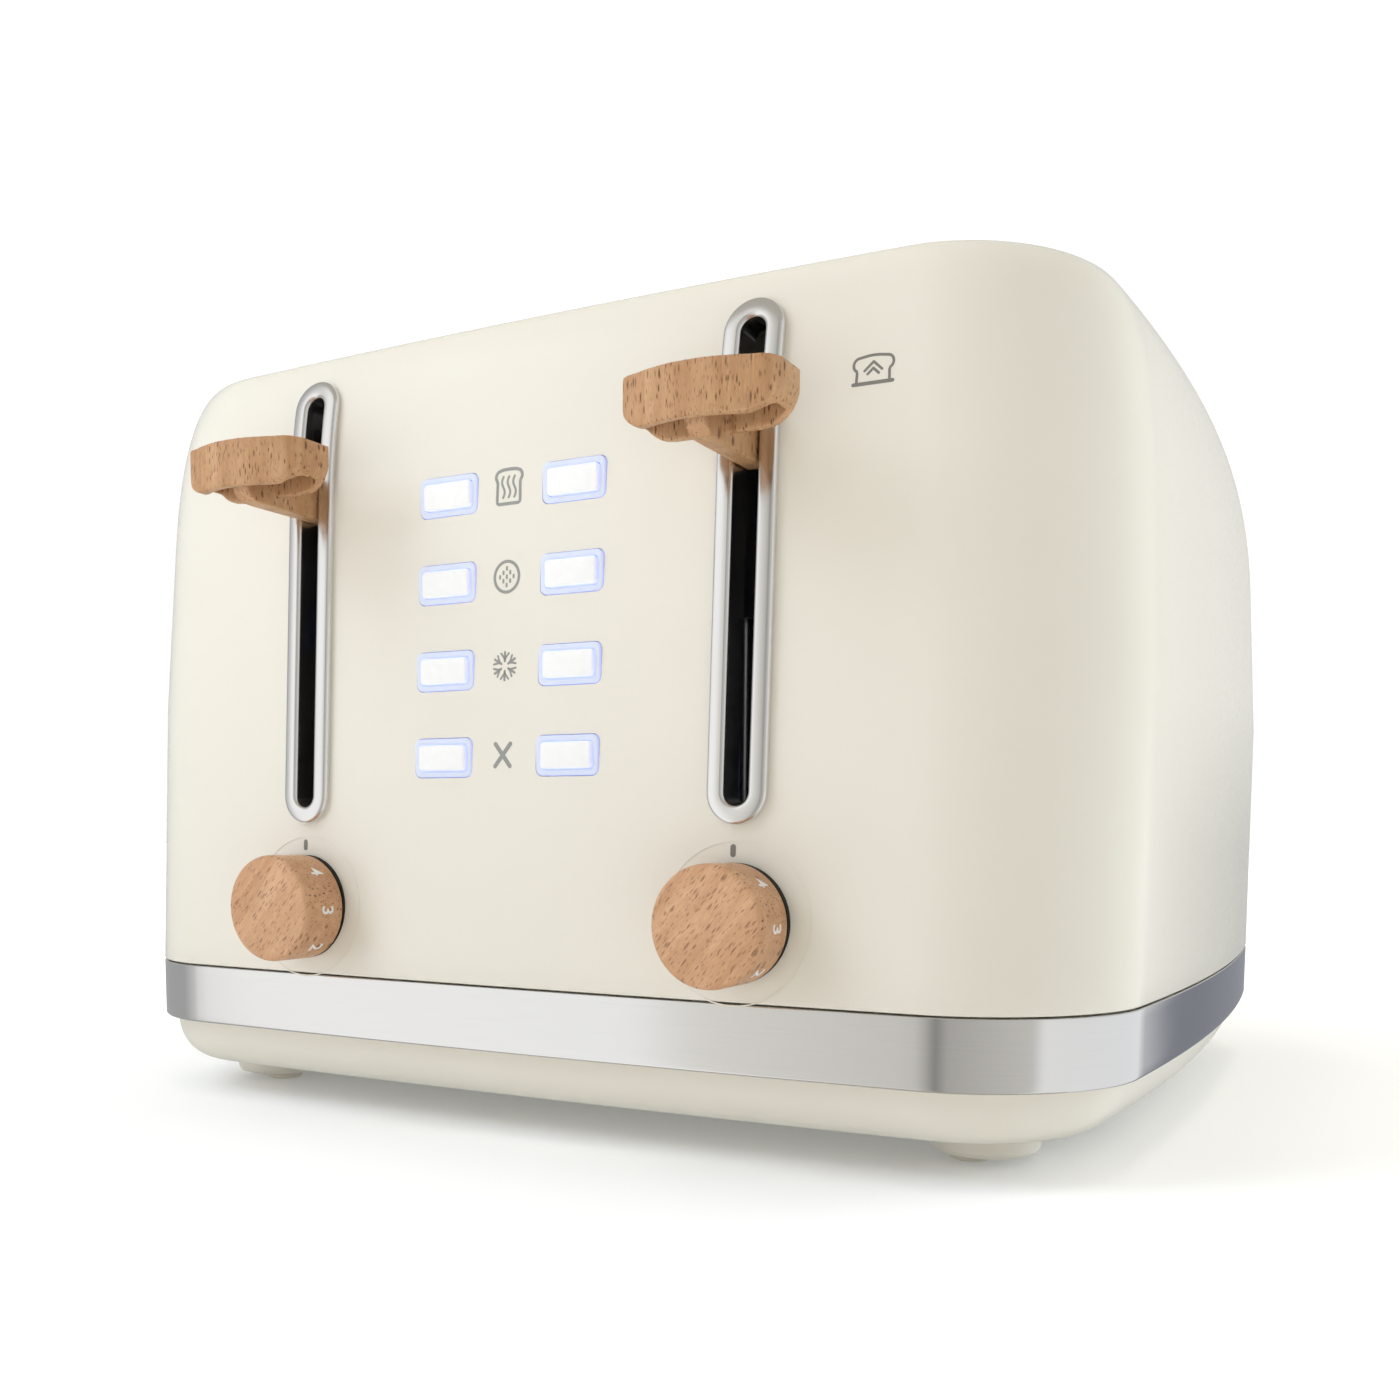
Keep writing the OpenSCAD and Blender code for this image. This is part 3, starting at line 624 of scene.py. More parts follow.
def make_band():
    """The steel band: flush with the shell, its edges rolled in a little."""
    roll, lip = 0.7 * MM, 0.3 * MM
    profile = [(BAND_T, BAND_LOW + 0.2 * MM), (roll * 0.8, BAND_LOW)]
    for i in range(1, 6):
        t = math.pi / 2 * i / 5
        profile.append((roll * (1 - math.sin(t)), BAND_LOW + roll * (1 - math.cos(t))))
    steps = 8
    rise = BAND_HIGH - lip - BAND_LOW - roll
    profile += [(0, BAND_LOW + roll + rise * i / steps) for i in range(1, steps)]
    for i in range(6):
        t = math.pi / 2 * i / 5
        profile.append((lip * (1 - math.cos(t)), BAND_HIGH - lip + lip * math.sin(t)))
    profile.append((BAND_T, BAND_HIGH))
    shape = Shape().tube([at_height(plan(SEAM, inset), z) for inset, z in profile], closed=True)
    dress(shape.build("band"), BAND_STEEL, stands_for=["trim_band"])


def base_inset(z):
    return BASE_INSET + BASE_CURVE * ease((BAND_LOW - z) / (BAND_LOW - BASE_Z), BASE_P)


TRAY_W = 98 * MM
TRAY_H = 6.1 * MM
TRAY_Z = 13.65 * MM
GLAND_R = 4.6 * MM
SCREW_STEPS = ((2.2 * MM, 18 * MM), (3.9 * MM, 9 * MM))
SCREW_HEAD = 3.5 * MM
SCREW_Y = 56 * MM
BEHIND = MID_Y + HALF_D + 20 * MM


def base_cutters():
    """The openings of the base: two crumb trays, the gland and the stepped screw holes."""
    shape = Shape()
    for side in SIDES:
        outline = rounded_rect(TRAY_W, TRAY_H, MM)
        along_y(shape, outline, middle(f"{side}_crumb_tray").x, TRAY_Z, MID_Y + 100 * MM, BEHIND)
    hole = arc(0, 0, GLAND_R, GLAND_R, 0, 354, 59)
    along_y(shape, hole, 0, middle("cord_gland").z, MID_Y + 120 * MM, BEHIND)
    for x, y in screw_places():
        for r, top in SCREW_STEPS:
            ring = arc(x, y, r, r, 0, 350, 35)
            shape.tube([[Vector((u, v, z)) for u, v in ring] for z in (BASE_Z - 2 * MM, top)])
    return shape.build("cutters")


def screw_places():
    _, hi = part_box("case_screws")
    outer, far = hi[0] - SCREW_HEAD, hi[1] - SCREW_HEAD
    places = [(s * outer, MID_Y + e * SCREW_Y) for s in (-1, 1) for e in (-1, 1)]
    return places + [(0, MID_Y + e * (far - MID_Y)) for e in (-1, 1)]


def base_solid():
    """The base: a shallow tray whose sides curl under, with a neck inside the band and shell."""
    steps = 16
    rings = []
    for i in range(steps + 1):
        z = BASE_Z + (BAND_LOW - BASE_Z) * (1 - math.cos(math.pi / 2 * i / steps))
        rings.append(at_height(plan(SEAM, base_inset(z)), z))
    tiny = 0.02 * MM
    low_neck = BAND_T + 0.3 * MM
    rings.append(at_height(plan(SEAM, low_neck), BAND_LOW + tiny))
    rings.append(at_height(plan(SEAM, low_neck), BAND_HIGH))
    rings.append(at_height(plan(SEAM, NECK_INSET), BAND_HIGH + tiny))
    rings.append(at_height(plan(SEAM, NECK_INSET), NECK_TOP))
    inner = NECK_INSET + WALL
    rings.append(at_height(plan(SEAM, inner), NECK_TOP))
    rings.append(at_height(plan(SEAM, inner), BAND_LOW))
    for z in (13 * MM, BASE_Z + WALL):
        rings.append(at_height(plan(SEAM, base_inset(z) + WALL), z))
    return Shape().tube(rings).build("base")


def make_base():
    base = base_solid()
    for sign in SIDES.values():
        for end in (-1, 1):
            boss, r, soft, high = Shape(), 13 * MM, 2.4 * MM, 8 * MM
            turn = [math.pi / 2 * i / 8 for i in range(9)]
            profile = [(0.05 * MM, 0.0)]
            profile += [(r - soft + soft * math.sin(t), soft * (1 - math.cos(t))) for t in turn]
            profile += [(r, high), (0.05 * MM, high)]
            at = Vector((sign * (PAD_X + 3 * MM), MID_Y + end * (PAD_Y - 2 * MM), BOSS_Z))
            lathe(boss, profile, at, (0, 0, 1))
            combine(base, boss.build("boss"), "UNION")
    combine(base, base_cutters(), "DIFFERENCE")
    base.name = "base"
    dress(base, CREAM_BASE, stands_for=["base_housing"], angle=35)


def make_pads():
    """Four rubber pads, a little off the middle of their bosses."""
    shape, soft = Shape(), 0.7 * MM
    turn = [math.pi / 2 * i / 5 for i in range(6)]
    profile = [(0.05 * MM, 0.0)]
    profile += [(PAD_R - soft + soft * math.sin(t), soft * (1 - math.cos(t))) for t in turn]
    profile += [(PAD_R, BOSS_Z + 0.3 * MM), (0.05 * MM, BOSS_Z + 0.3 * MM)]
    for sign in SIDES.values():
        for end in (-1, 1):
            lathe(shape, profile, Vector((sign * PAD_X, MID_Y + end * PAD_Y, 0)), (0, 0, 1), n=48)
    dress(shape.build("pads"), PAD, stands_for=["foot_pads"])


def make_rims():
    """Pressed steel rims round the bread slots, with rolled edges."""
    shape = Shape()
    deep, lip, out = 7 * MM, 0.6 * MM, 2.5 * MM
    roll = [math.pi / 2 * i / 4 for i in range(5)]
    profile = [(0.3 * MM, -deep), (-0.5 * MM, -deep)]
    profile += [(-0.5 * MM + 0.9 * MM * (1 - math.cos(t)), -0.3 * MM + 0.9 * MM * math.sin(t)) for t in roll]
    profile += [(out - lip + lip * math.sin(t), lip * math.cos(t)) for t in roll]
    profile += [(out, -0.1 * MM), (0.3 * MM, -0.1 * MM)]
    for x, y in bread_slots():
        rings = []
        for grow, z in profile:
            outline = rounded_rect(SLOT_W + 2 * grow, SLOT_L + 2 * grow, SLOT_R + grow, turn=10)
            rings.append([Vector((x + u, y + v, TOP + z)) for u, v in outline])
        shape.tube(rings, closed=True)
    dress(shape.build("slot_rims"), TRIM_STEEL, stands_for=["bread_slot_rims"])


# ---------------------------------------------------------------- levers

GAP_R = 2.96 * MM


def make_trim(side):
    """The steel loop round a lever's gap: a rounded section that follows the bowed face."""
    sign = SIDES[side]
    proud, collar, deep = 2 * MM, 5.1 * MM, 6 * MM
    turn = [math.pi / 2 * i / 6 for i in range(7)]
    bead = 1.1 * MM
    edge = 1.0 * MM
    profile = [(collar, -deep), (GAP_R, -deep), (GAP_R, 0.2 * MM)]
    profile += [(GAP_R + bead * (1 - math.cos(t)), proud - bead + bead * math.sin(t)) for t in turn]
    profile += [(TRIM_R - edge - 0.2 * MM, proud - 0.04 * MM)]
    brim = proud - 0.1 * MM
    profile += [(TRIM_R - edge + edge * math.sin(t), brim - edge * (1 - math.cos(t))) for t in turn]
    profile += [(TRIM_R, 0.2 * MM), (TRIM_R, -0.1 * MM), (collar, -0.1 * MM)]
    rings = []
    for r, h in profile:
        ring = []
        for u, z in stadium(r, TRIM_LOW + TRIM_R - r, TRIM_HIGH - TRIM_R + r):
            point = on_face(sign * PAIR_X + u, z, max(h, 0.0))
            ring.append(point + Vector((0, -min(h, 0.0), 0)))
        rings.append(ring)
    shape = Shape().tube(rings, closed=True)
    node = f"{side}_lever_trim"
    dress(shape.build(f"{side}_trim"), TRIM_STEEL, stands_for=[node], angle=50)


HANDLE_H = 11.1
HANDLE_D = 16.2
HANDLE_WALL = 2.2
HANDLE_SAG = 5.5
HANDLE_R = 5.0
STEM_W = 5.0


def handle_plan(half, inset):
    """A handle seen from above, in millimetres from its front: bowed, with round front corners."""
    a, r, back = half - inset, HANDLE_R - inset / 2, HANDLE_D - inset
    bow = [(a - r) * i / 14 for i in range(-14, 15)]
    points = [(x, inset + HANDLE_SAG * (x / a) ** 2) for x in bow]
    end = inset + HANDLE_SAG * ((a - r) / a) ** 2
    turn = [math.pi / 2 * i / 8 for i in range(1, 9)]
    corner = [(a - r + r * math.sin(t), end + r * (1 - math.cos(t))) for t in turn]
    return points + corner + [(a, back), (-a, back)] + [(-x, y) for x, y in reversed(corner)]


def handle_front(half, r=7.6):
    """A handle seen from the front, in millimetres from its lower edge: round lower corners."""
    right = arc(half - r, r, r, r, -90, 0, 12)
    left = arc(-half + r, r, r, r, 180, 270, 12)
    return left + right + [(half, HANDLE_H + 1), (-half, HANDLE_H + 1)]


def make_handle(side):
    """A beech handle, hollow underneath, whose rib runs down into the stem."""
    name = f"{side}_lever_handle"
    lo, hi = [Vector(corner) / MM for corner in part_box(name)]
    half, x, front = (hi.x - lo.x) / 2, (hi.x + lo.x) / 2, lo.y
    low = hi.z - HANDLE_H
    body = Shape()
    body.tube([[Vector((u, v, z)) for u, v in handle_plan(half, 0)] for z in (0, HANDLE_H)])
    handle = body.build("handle")
    block = Shape()
    along_y(block, handle_front(half), 0, 0, -2, HANDLE_D + 2)
    combine(handle, block.build("block"), "INTERSECT")
    hollow = Shape()
    inside = handle_plan(half, HANDLE_WALL)
    hollow.tube([[Vector((u, v, z)) for u, v in inside] for z in (-2, HANDLE_H - HANDLE_WALL)])
    combine(handle, hollow.build("hollow"), "DIFFERENCE")
    foot, back = lo.z - low, hi.y - front
    rib = [(HANDLE_D - 12.6, HANDLE_H - 1), (HANDLE_D - 12.2, 1.0), (HANDLE_D - 11.4, -0.8)]
    rib += [(HANDLE_D - 9, foot + 0.3), (HANDLE_D - 6, foot), (back, foot), (back, HANDLE_H - 3.1)]
    rib += [(HANDLE_D - 1, HANDLE_H - 1)]
    stem = Shape()
    stem.tube([[Vector((u, v, z)) for v, z in rib] for u in (-STEM_W / 2, STEM_W / 2)])
    combine(handle, stem.build("stem"), "UNION")
    voxels = handle.modifiers.new("voxels", "REMESH")
    voxels.mode = "VOXEL"
    voxels.voxel_size = 0.3
    voxels.use_smooth_shade = True
    soften = handle.modifiers.new("soften", "SMOOTH")
    soften.factor = 0.5
    soften.iterations = 7
    apply_modifiers(handle)
    for v in handle.data.vertices:
        v.co = Vector((v.co.x + x, v.co.y + front, v.co.z + low)) * MM
    handle.name = f"{side}_handle"
    dress(handle, HANDLE_BEECH, f"{side}_carriage_group", [name], angle=180)


# ---------------------------------------------------------------- dials


def make_knob(side):
    """A beech dial with a bore for its shaft, softly rounded at the front."""
    name = f"{side}_browning_knob"
    lo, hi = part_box(name)
    length, edge = hi[1] - lo[1], 1.4 * MM
    turn = [math.pi / 2 * i / 8 for i in range(9)]
    back = 1.0 * MM
    bore = 3.1 * MM
    profile = [(bore, 9 * MM), (bore, 0.0), (KNOB_R - back, 0.0)]
    profile += [(KNOB_R - back + back * math.sin(t), back * (1 - math.cos(t))) for t in turn[1:]]
    profile += [(KNOB_R, back + (length - back - edge) * i / 6) for i in range(1, 6)]
    profile += [(KNOB_R - edge + edge * math.cos(t), length - edge + edge * math.sin(t)) for t in turn]
    profile += [(KNOB_R * share, length) for share in (0.7, 0.4, 0.15, 0.004)]
    shape = Shape()
    centre = Vector(((lo[0] + hi[0]) / 2, hi[1], (lo[2] + hi[2]) / 2))
    lathe(shape, profile, centre, (0, -1, 0), n=160)
    dress(shape.build(f"{side}_knob"), DIAL_BEECH, f"{side}_dial", [name])
    make_digits(side, centre, length)


DIGIT_SIZE = 5.6 * MM
# Degrees from the top of the dial, clockwise from the front
THREE_AT = 91.5
DIGIT_PITCH = 45.5


def make_digits(side, centre, length):
    """White figures printed round a dial; they read from above."""
    data = bpy.data.curves.new(f"{side}_digits", "FONT")
    text = bpy.data.objects.new(f"{side}_digits", data)
    bpy.context.scene.collection.objects.link(text)
    data.size = DIGIT_SIZE
    data.offset = 0.06 * MM
    data.extrude = 0.12 * MM
    data.align_x = "CENTER"
    data.align_y = "CENTER"
    data.resolution_u = 6
    shape = Shape()
    for digit in range(1, 7):
        data.body = str(digit)
        bpy.context.view_layer.update()
        graph = bpy.context.evaluated_depsgraph_get()
        flat = bpy.data.meshes.new_from_object(text.evaluated_get(graph))
        middle_turn = math.radians(THREE_AT + (3 - digit) * DIGIT_PITCH)
        first = len(shape.points)
        for v in flat.vertices:
            turn = middle_turn + v.co.x / KNOB_R
            r = KNOB_R + v.co.z * 0.6
            y = centre.y - length * 0.46 + v.co.y
            shape.points.append(Vector((centre.x + r * math.sin(turn), y, centre.z + r * math.cos(turn))))
        shape.faces += [tuple(first + i for i in f.vertices) for f in flat.polygons]
    bpy.data.objects.remove(text)
    dress(shape.build(f"{side}_digits"), DIGIT, f"{side}_dial")


# ---------------------------------------------------------------- keys


def make_key(side, row):
    """A lit key: a cap with softened edges and its plunger behind."""
    name = f"{side}_{row}_button"
    lo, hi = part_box(name)
    x, z = (lo[0] + hi[0]) / 2, (lo[2] + hi[2]) / 2
    soft, depth = 0.5 * MM, 7 * MM
    turn = [math.pi / 2 * i / 5 for i in range(6)]
    rings = []
    for inset, back in [(soft * (1 - math.sin(t)), soft * (1 - math.cos(t))) for t in turn] + [(0, depth)]:
        outline = rounded_rect(KEY_W - 2 * inset, KEY_H - 2 * inset, MM - inset * 0.6)
        rings.append([Vector((x + u, lo[1] + back, z + v)) for u, v in outline])
    shape = Shape().tube(rings)
    along_y(shape, arc(0, 0, 1.5 * MM, 1.5 * MM, 0, 345, 23), x, z, lo[1] + depth - 0.01 * MM, hi[1])
    dress(shape.build(f"{side}_{row}_key"), CAP, name, [name])


def make_key_rings(side):
    """The lit bezels round one column of keys."""
    shape = Shape()
    proud, deep, soft = 0.35 * MM, 4.5 * MM, 0.3 * MM
    turn = [math.pi / 2 * i / 4 for i in range(5)]
    for row in ROWS:
        at = middle(f"{side}_{row}_button")
        front = face_point(at.x, at.z).y - proud
        profile = [(KEY_RING, deep)]
        profile += [(KEY_RING - soft + soft * math.cos(t), soft - soft * math.sin(t)) for t in turn]
        profile += [(KEY_GAP + soft - soft * math.sin(t), soft - soft * math.cos(t)) for t in turn]
        profile += [(KEY_GAP, deep)]
        rings = []
        for grow, back in profile:
            outline = rounded_rect(KEY_W + 2 * grow, KEY_H + 2 * grow, 0.9 * MM + grow * 0.5)
            rings.append([Vector((at.x + u, front + back, at.z + v)) for u, v in outline])
        shape.tube(rings, closed=True)
    node = f"{side}_button_lights"
    dress(shape.build(f"{side}_key_rings"), RING, stands_for=[node])


# ---------------------------------------------------------------- printing on the face


def ribbon(shape, x, z, path, width, closed=False, height=0.045 * MM, depth=0.1 * MM):
    """A printed line on the front face: path is in millimetres about (x, z), width too."""
    stations = []
    n = len(path)
    for i, (u, v) in enumerate(path):
        before = path[(i - 1) % n] if closed or i else path[i]
        after = path[(i + 1) % n] if closed or i < n - 1 else path[i]
        du, dv = after[0] - before[0], after[1] - before[1]
        size = math.hypot(du, dv)
        stations.append((u, v, du / size, dv / size, width / 2))
    if not closed:
        ends = []
        for sign, (u, v, du, dv, half) in ((-1, stations[0]), (1, stations[-1])):
            cap = [math.radians(t) for t in (25, 50, 72, 88)]
            reach = [(sign * half * math.sin(t), half * math.cos(t)) for t in cap]
            ends.append([(u + du * far, v + dv * far, du, dv, narrow) for far, narrow in reach])
        stations = ends[0][::-1] + stations + ends[1]
    rings = []
    for u, v, du, dv, half in stations:
        left = (x + (u - dv * half) * MM, z + (v + du * half) * MM)
        right = (x + (u + dv * half) * MM, z + (v - du * half) * MM)
        raised = [on_face(*left, height), on_face(*right, height)]
        rings.append(raised + [on_face(*right, -depth), on_face(*left, -depth)])
    shape.tube(rings, closed=closed)


def toast_outline(w, h, lobe):
    """A slice of bread about the origin, with a lobe on each shoulder."""
    waist = w / 2 * 0.86
    right = [(waist * 0.9, -h / 2), (waist * 0.99, -h / 2 + 0.25), (waist * 1.03, -h / 2 + 0.7)]
    right += [(waist, h / 2 - 2.0 * lobe)]
    right += arc(w / 2 - lobe, h / 2 - lobe, lobe, lobe, -40, 80, 12)
    top = [(w / 2 * s, h / 2 + 0.25 * (1 - s * s)) for s in (0.5, 0.25)]
    half = right + top
    return half + [(0, h / 2 + 0.25)] + [(-u, v) for u, v in reversed(half)]


def icon_reheat(shape, x, z):
    """A slice of bread with three waves of heat."""
    ribbon(shape, x, z, toast_outline(7.7, 8.0, 1.45), 0.8, closed=True)
    for shift in (-1.65, 0, 1.65):
        wave = [(shift - 0.42 * math.sin(t / 22 * 2 * math.pi), 2.5 - 5.0 * t / 22) for t in range(23)]
        ribbon(shape, x, z, wave, 0.6)


def icon_bagel(shape, x, z):
    """A ring round nine seeds."""
    ribbon(shape, x, z, arc(0, 0, 3.6, 3.7, 0, 352.5, 47), 0.75, closed=True)
    pitch = 1.4
    for i in (-1, 0, 1):
        for j in (-1, 0, 1):
            u, v = (i - j) * pitch * 0.72, (i + j) * pitch * 0.72
            ribbon(shape, x, z, [(u, v - 0.28), (u, v + 0.28)], 0.6)


def icon_defrost(shape, x, z):
    """A snowflake: six arms with an open arrow head each."""
    for k in range(6):
        t = math.radians(90 + 60 * k)
        out, side = (math.cos(t), math.sin(t)), (-math.sin(t), math.cos(t))
        ribbon(shape, x, z, [(1.2 * out[0], 1.2 * out[1]), (3.4 * out[0], 3.4 * out[1])], 0.6)
        for s in (-1, 1):
            tip = (3.1 * out[0] + s * 1.15 * side[0], 3.1 * out[1] + s * 1.15 * side[1])
            ribbon(shape, x, z, [(1.7 * out[0], 1.7 * out[1]), tip], 0.5)


def icon_cancel(shape, x, z):
    """A cross."""
    for s in (-1, 1):
        ribbon(shape, x, z, [(-2.2 * s, -2.7), (2.2 * s, 2.7)], 1.1)


def icon_lift(shape, x, z):
    """A slice rising from a line, with two arrow heads."""
    ribbon(shape, x, z, [(-4.4, -2.95), (4.4, -2.95)], 0.8)
    side = [(3.7, -2.8), (3.6, -0.6), (3.75, -0.1)]
    lobe = arc(3.1, 1.15, 1.35, 1.45, -45, 75, 12)
    half = side + lobe
    crown = [(2.2, 2.75), (1.1, 2.9)]
    path = half + crown + [(0, 2.95)] + [(-u, v) for u, v in reversed(half + crown)]
    ribbon(shape, x, z, path, 0.6)
    for reach, drop in ((1.95, 1.55), (1.25, 0.15)):
        ribbon(shape, x, z, [(-reach, drop - reach * 0.92), (0, drop)], 0.55)
        ribbon(shape, x, z, [(reach, drop - reach * 0.92), (0, drop)], 0.55)


def make_prints():
    """The marks between the keys, and the darker ones over the dials and beside the right lever."""
    keys, marks = Shape(), Shape()
    draw = {"cancel": icon_cancel, "defrost": icon_defrost, "bagel": icon_bagel, "reheat": icon_reheat}
    for row, icon in draw.items():
        icon(keys, -0.3 * MM, middle(f"left_{row}_button").z + 0.4 * MM)
    icon_lift(marks, PAIR_X + 28.3 * MM, 174.8 * MM)
    tick_z = KNOB.z + KNOB_R + 2.6 * MM
    for sign in SIDES.values():
        ribbon(marks, sign * PAIR_X - 0.8 * MM, tick_z, [(0, -0.8), (0, 0.8)], 1.35)
    dress(keys.build("key_prints"), SOFT_PRINT)
    dress(marks.build("prints"), PRINT)


# Painted shade: a dark ring where the gap behind each dial is in shadow.
def make_dial_gaps():
    """A near-black ring behind each dial: painted shade for the shadowed gap between dial and face."""
    shape = Shape()
    for sign in SIDES.values():
        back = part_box("right_browning_knob")[1][1] + 0.05 * MM
        inner, outer, deep = 4.0 * MM, KNOB_R - 0.1 * MM, 1.6 * MM
        at = Vector((sign * PAIR_X, back, KNOB.z))
        turn = [2 * math.pi * i / 120 for i in range(120)]
        rings = []
        for r, y in ((inner, 0), (outer, 0), (outer, deep), (inner, deep)):
            rings.append([at + Vector((r * math.cos(t), y, r * math.sin(t))) for t in turn])
        shape.tube(rings, closed=True)
    dress(shape.build("dial_gaps"), PAINTED_GAP_SHADE)


def make_dial_rings():
    """A fine raised line round each dial."""
    shape, radius = Shape(), 18.6
    for sign in SIDES.values():
        circle = arc(0, 0, radius, radius, 0, 357.5, 143)
        ribbon(shape, sign * PAIR_X, KNOB.z, circle, 0.35, closed=True, height=0.1 * MM)
    dress(shape.build("dial_rings"), CREAM)


# ---------------------------------------------------------------- stage


def emitter(name, strength):
    """A material that only gives light, its node tree and the node that gives the light."""
    material = bpy.data.materials.new(name)
    material.use_nodes = True
    tree = material.node_tree
    tree.nodes.remove(tree.nodes["Principled BSDF"])
    glow = tree.nodes.new("ShaderNodeEmission")
    glow.inputs["Strength"].default_value = strength
    tree.links.new(glow.outputs[0], tree.nodes["Material Output"].inputs[0])
    return material, tree, glow


AIM = Vector((0, 0, 0.1))


def seen_by(piece, camera=False, glossy=False):
    piece.visible_camera = camera
    piece.visible_diffuse = False
    piece.visible_glossy = glossy
    piece.visible_transmission = False
    piece.visible_shadow = False


def make_floor():
    shape, reach = Shape(), 7.0
    corners = ((-reach, -reach), (reach, -reach), (reach, reach), (-reach, reach))
    shape.points = [Vector((x, y, -0.00005)) for x, y in corners]
    shape.faces = [(0, 1, 2, 3)]
    floor = shape.build("floor")
    # The floor glows: painted light, faint round the object and stronger further out, so the floor is darker
    # round the object's foot, a painted shade.
    paper = Look("floor_paper_painted_glow", (0.93, 0.93, 0.93), 0.9, Emission_Strength=0.113)
    grain = paper.noise(paper.place((0.02, 0.02, 0.02)))
    paper.link(paper.blend(grain, (0.925, 0.925, 0.925), (0.935, 0.935, 0.935)), "Base Color")
    from_middle = paper.node("ShaderNodeVectorMath", Vector=paper.place((MM, MM, MM)))
    from_middle.operation = "LENGTH"
    away = paper.spread(from_middle.outputs[1], 0.20, 0.5)
    far_away = paper.spread(from_middle.outputs[1], 0.6, 2.0)
    # Painted light that rises away from the object; the dimmer middle is painted shade round its foot.
    painted_floor_glow = paper.blend(away, (0.92, 0.97, 1.0), (3.0, 3.0, 3.0))
    paper.link(paper.blend(far_away, painted_floor_glow, (6.0, 6.0, 6.0)), "Emission Color")
    floor.data.materials.append(paper.material)
    floor.visible_glossy = False


def drum(name, radius, low, high):
    """An open cylinder round the object."""
    n = 128
    turn = [2 * math.pi * i / n for i in range(n)]
    circle = [(radius * math.cos(t), radius * math.sin(t)) for t in turn]
    shape = Shape()
    rings = [shape.ring([Vector((x, y, z)) for x, y in circle]) for z in (low, high)]
    shape.join(*rings)
    return shape.build(name)


def make_backdrop():
    """A plain white wall behind everything."""
    white, _, glow = emitter("backdrop_white", 1.05)
    glow.inputs["Color"].default_value = (1, 1, 1, 1)
    wall = drum("backdrop", 6.9, -1.0, 9.0)
    wall.data.materials.append(white)
    seen_by(wall, camera=True)


# Brightness and warmth of the studio, by bearing in degrees from the front towards +X
DIM_LEFT = ((-180, 0.40, 0), (-71, 0.41, 0))
LEFT_SOFT_BOX = ((-57, 0.62, 0.02), (-50, 1.03, 0.02), (-27, 1.0, 0.01))
FRONT_WALL = ((-24, 0.78, 0.06), (-8, 0.60, 0.06))
FRONT_FLAG = ((4, 0.27, 0.06), (12, 0.44, 0.06))
RIGHT_WALL = ((62, 0.60, 0.06),)
RIGHT_SOFT_BOX = ((69, 0.87, 0.01), (154, 0.87, -0.02))
REAR_FLAG = ((161, 0.2, -0.13), (180, 0.3, -0.1))
# Above the table the soft box on the right is dimmer and runs on to the rear
HIGH_SOFT_BOX = ((69, 0.80, 0.01), (110, 0.62, 0), (180, 0.55, 0))

LEFT_AND_FRONT = DIM_LEFT + LEFT_SOFT_BOX + FRONT_WALL + FRONT_FLAG + RIGHT_WALL
STUDIO_LOW = LEFT_AND_FRONT + RIGHT_SOFT_BOX + REAR_FLAG
STUDIO_HIGH = LEFT_AND_FRONT + HIGH_SOFT_BOX


def bearing_ramp(tree, share, stations):
    """A colour for each bearing, blended between the stations."""
    ramp = tree.nodes.new("ShaderNodeValToRGB")
    tree.links.new(share, ramp.inputs[0])
    stops = ramp.color_ramp.elements
    for station in stations[1:-1]:
        stops.new((station[0] + 180) / 360)
    for stop, (angle, level, warmth) in zip(stops, stations):
        stop.position = (angle + 180) / 360
        stop.color = (level * (1 + warmth / 2), level, level * (1 - warmth), 1)
    return ramp.outputs[0]


def make_studio():
    """Soft boxes and dark flags round the object, which only its reflections see."""
    light, tree, glow = emitter("studio_light", 1.0)
    place = tree.nodes.new("ShaderNodeTexCoord").outputs["Object"]
    axes = tree.nodes.new("ShaderNodeSeparateXYZ")
    tree.links.new(place, axes.inputs[0])
    back = tree.nodes.new("ShaderNodeMath")
    back.operation = "MULTIPLY"
    back.inputs[1].default_value = -1
    tree.links.new(axes.outputs["Y"], back.inputs[0])
    bearing = tree.nodes.new("ShaderNodeMath")
    bearing.operation = "ARCTAN2"
    tree.links.new(axes.outputs["X"], bearing.inputs[0])
    tree.links.new(back.outputs[0], bearing.inputs[1])
    share = tree.nodes.new("ShaderNodeMapRange")
    share.inputs["From Min"].default_value = -math.pi
    share.inputs["From Max"].default_value = math.pi
    tree.links.new(bearing.outputs[0], share.inputs["Value"])
    high = tree.nodes.new("ShaderNodeMapRange")
    high.inputs["From Min"].default_value = 0.05
    high.inputs["From Max"].default_value = 0.4
    tree.links.new(axes.outputs["Z"], high.inputs["Value"])
    mix = tree.nodes.new("ShaderNodeMix")
    mix.data_type = "RGBA"
    tree.links.new(high.outputs[0], mix.inputs[0])
    for stations, target in ((STUDIO_LOW, mix.inputs[6]), (STUDIO_HIGH, mix.inputs[7])):
        tree.links.new(bearing_ramp(tree, share.outputs[0], stations), target)
    tree.links.new(mix.outputs[2], glow.inputs["Color"])
    wall = drum("studio", 3.0, -4.0, 3.0)
    wall.data.materials.append(light)
    seen_by(wall, glossy=True)


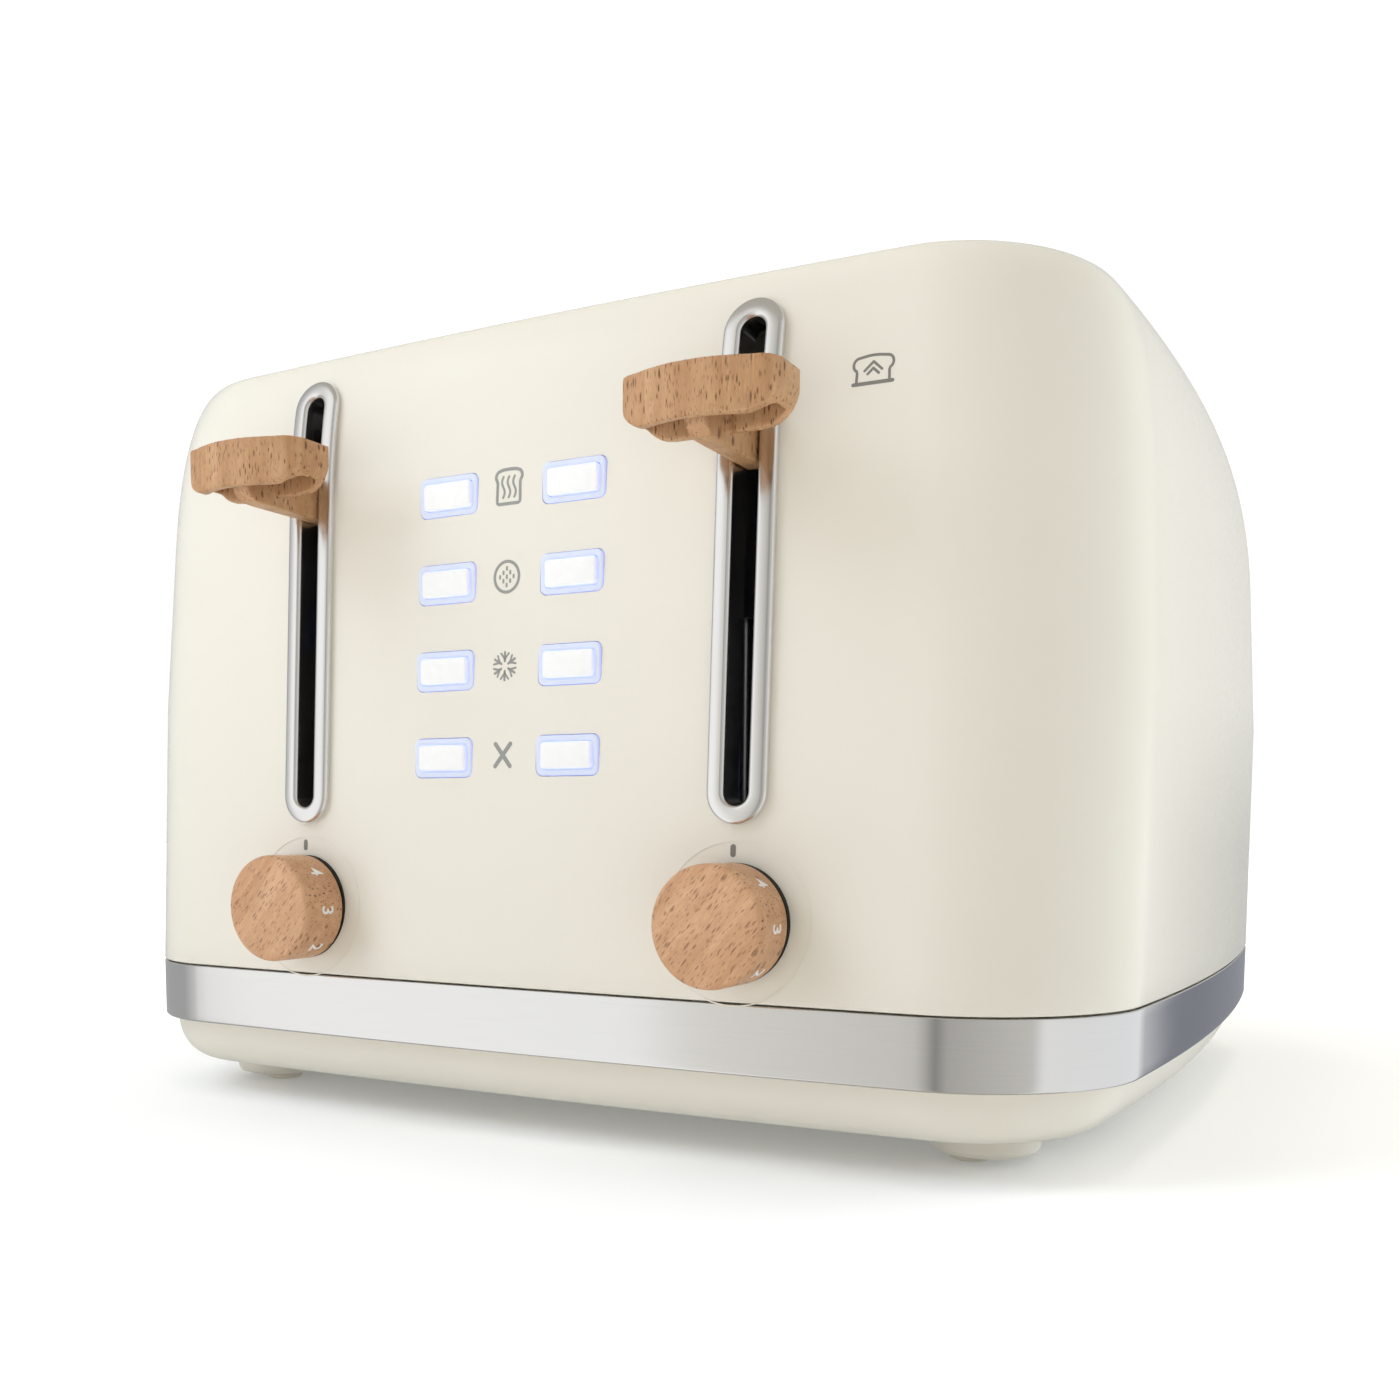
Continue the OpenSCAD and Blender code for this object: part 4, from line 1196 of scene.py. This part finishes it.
def area_light(name, at, size, power, colour):
    """A soft box that points at the middle of the object."""
    data = bpy.data.lights.new(name, "AREA")
    data.shape = "RECTANGLE"
    data.size, data.size_y = size
    data.energy = power
    data.color = colour
    lamp = bpy.data.objects.new(name, data)
    lamp.location = at
    lamp.rotation_euler = (AIM - Vector(at)).to_track_quat("-Z", "Y").to_euler()
    lamp.visible_camera = False
    lamp.visible_glossy = False
    bpy.context.scene.collection.objects.link(lamp)


def sun(name, bearing, height, strength, colour):
    """A soft, distant light; bearing runs from the front towards +X."""
    data = bpy.data.lights.new(name, "SUN")
    data.energy = strength
    data.angle = math.radians(40)
    data.color = colour
    lamp = bpy.data.objects.new(name, data)
    turn, rise = math.radians(bearing), math.radians(height)
    towards = Vector((math.sin(turn) * math.cos(rise), -math.cos(turn) * math.cos(rise), math.sin(rise)))
    lamp.rotation_euler = towards.to_track_quat("Z", "Y").to_euler()
    lamp.visible_camera = False
    lamp.visible_glossy = False
    bpy.context.scene.collection.objects.link(lamp)


def make_light():
    """An even, slightly warm room, two cool lights from the right and three soft boxes."""
    world = bpy.data.worlds.new("world")
    world.use_nodes = True
    world.node_tree.nodes["Background"].inputs["Color"].default_value = (1.1, 1.02, 0.9, 1)
    world.node_tree.nodes["Background"].inputs["Strength"].default_value = 0.41
    bpy.context.scene.world = world
    sun("side_light", 150, 15, 1.9, (1.0, 1.0, 0.97))
    sun("cool_side_light", 120, 15, 0.72, (0.75, 0.99, 1.3))
    area_light("left_light", (-0.6, -0.5, 0.8), (0.6, 0.6), 4.0, (0.88, 1.0, 1.13))
    area_light("low_left_light", (-0.8, -0.9, 0.5), (0.6, 0.9), 2.5, (0.95, 0.96, 1.1))
    area_light("top_light", (0, 0, 1.0), (0.8, 0.8), 3.9, (1.03, 1.02, 0.94))
    bpy.context.scene.view_settings.view_transform = "Standard"


# ---------------------------------------------------------------- assembly


def dress_cad():
    """Gives every CAD node that stays in view its finish."""
    for piece in frame["nodes"].values():
        for place in piece.material_slots:
            look = CAD_LOOKS.get(place.material.name.split(".")[0]) if place.material else None
            if look:
                place.material = look


make_camera()
make_shell()
make_band()
make_base()
make_pads()
make_rims()
for side in SIDES:
    make_trim(side)
    make_handle(side)
    make_knob(side)
    make_key_rings(side)
    for row in ROWS:
        make_key(side, row)
make_prints()
make_dial_rings()
make_dial_gaps()
dress_cad()
make_floor()
make_backdrop()
make_studio()
make_light()
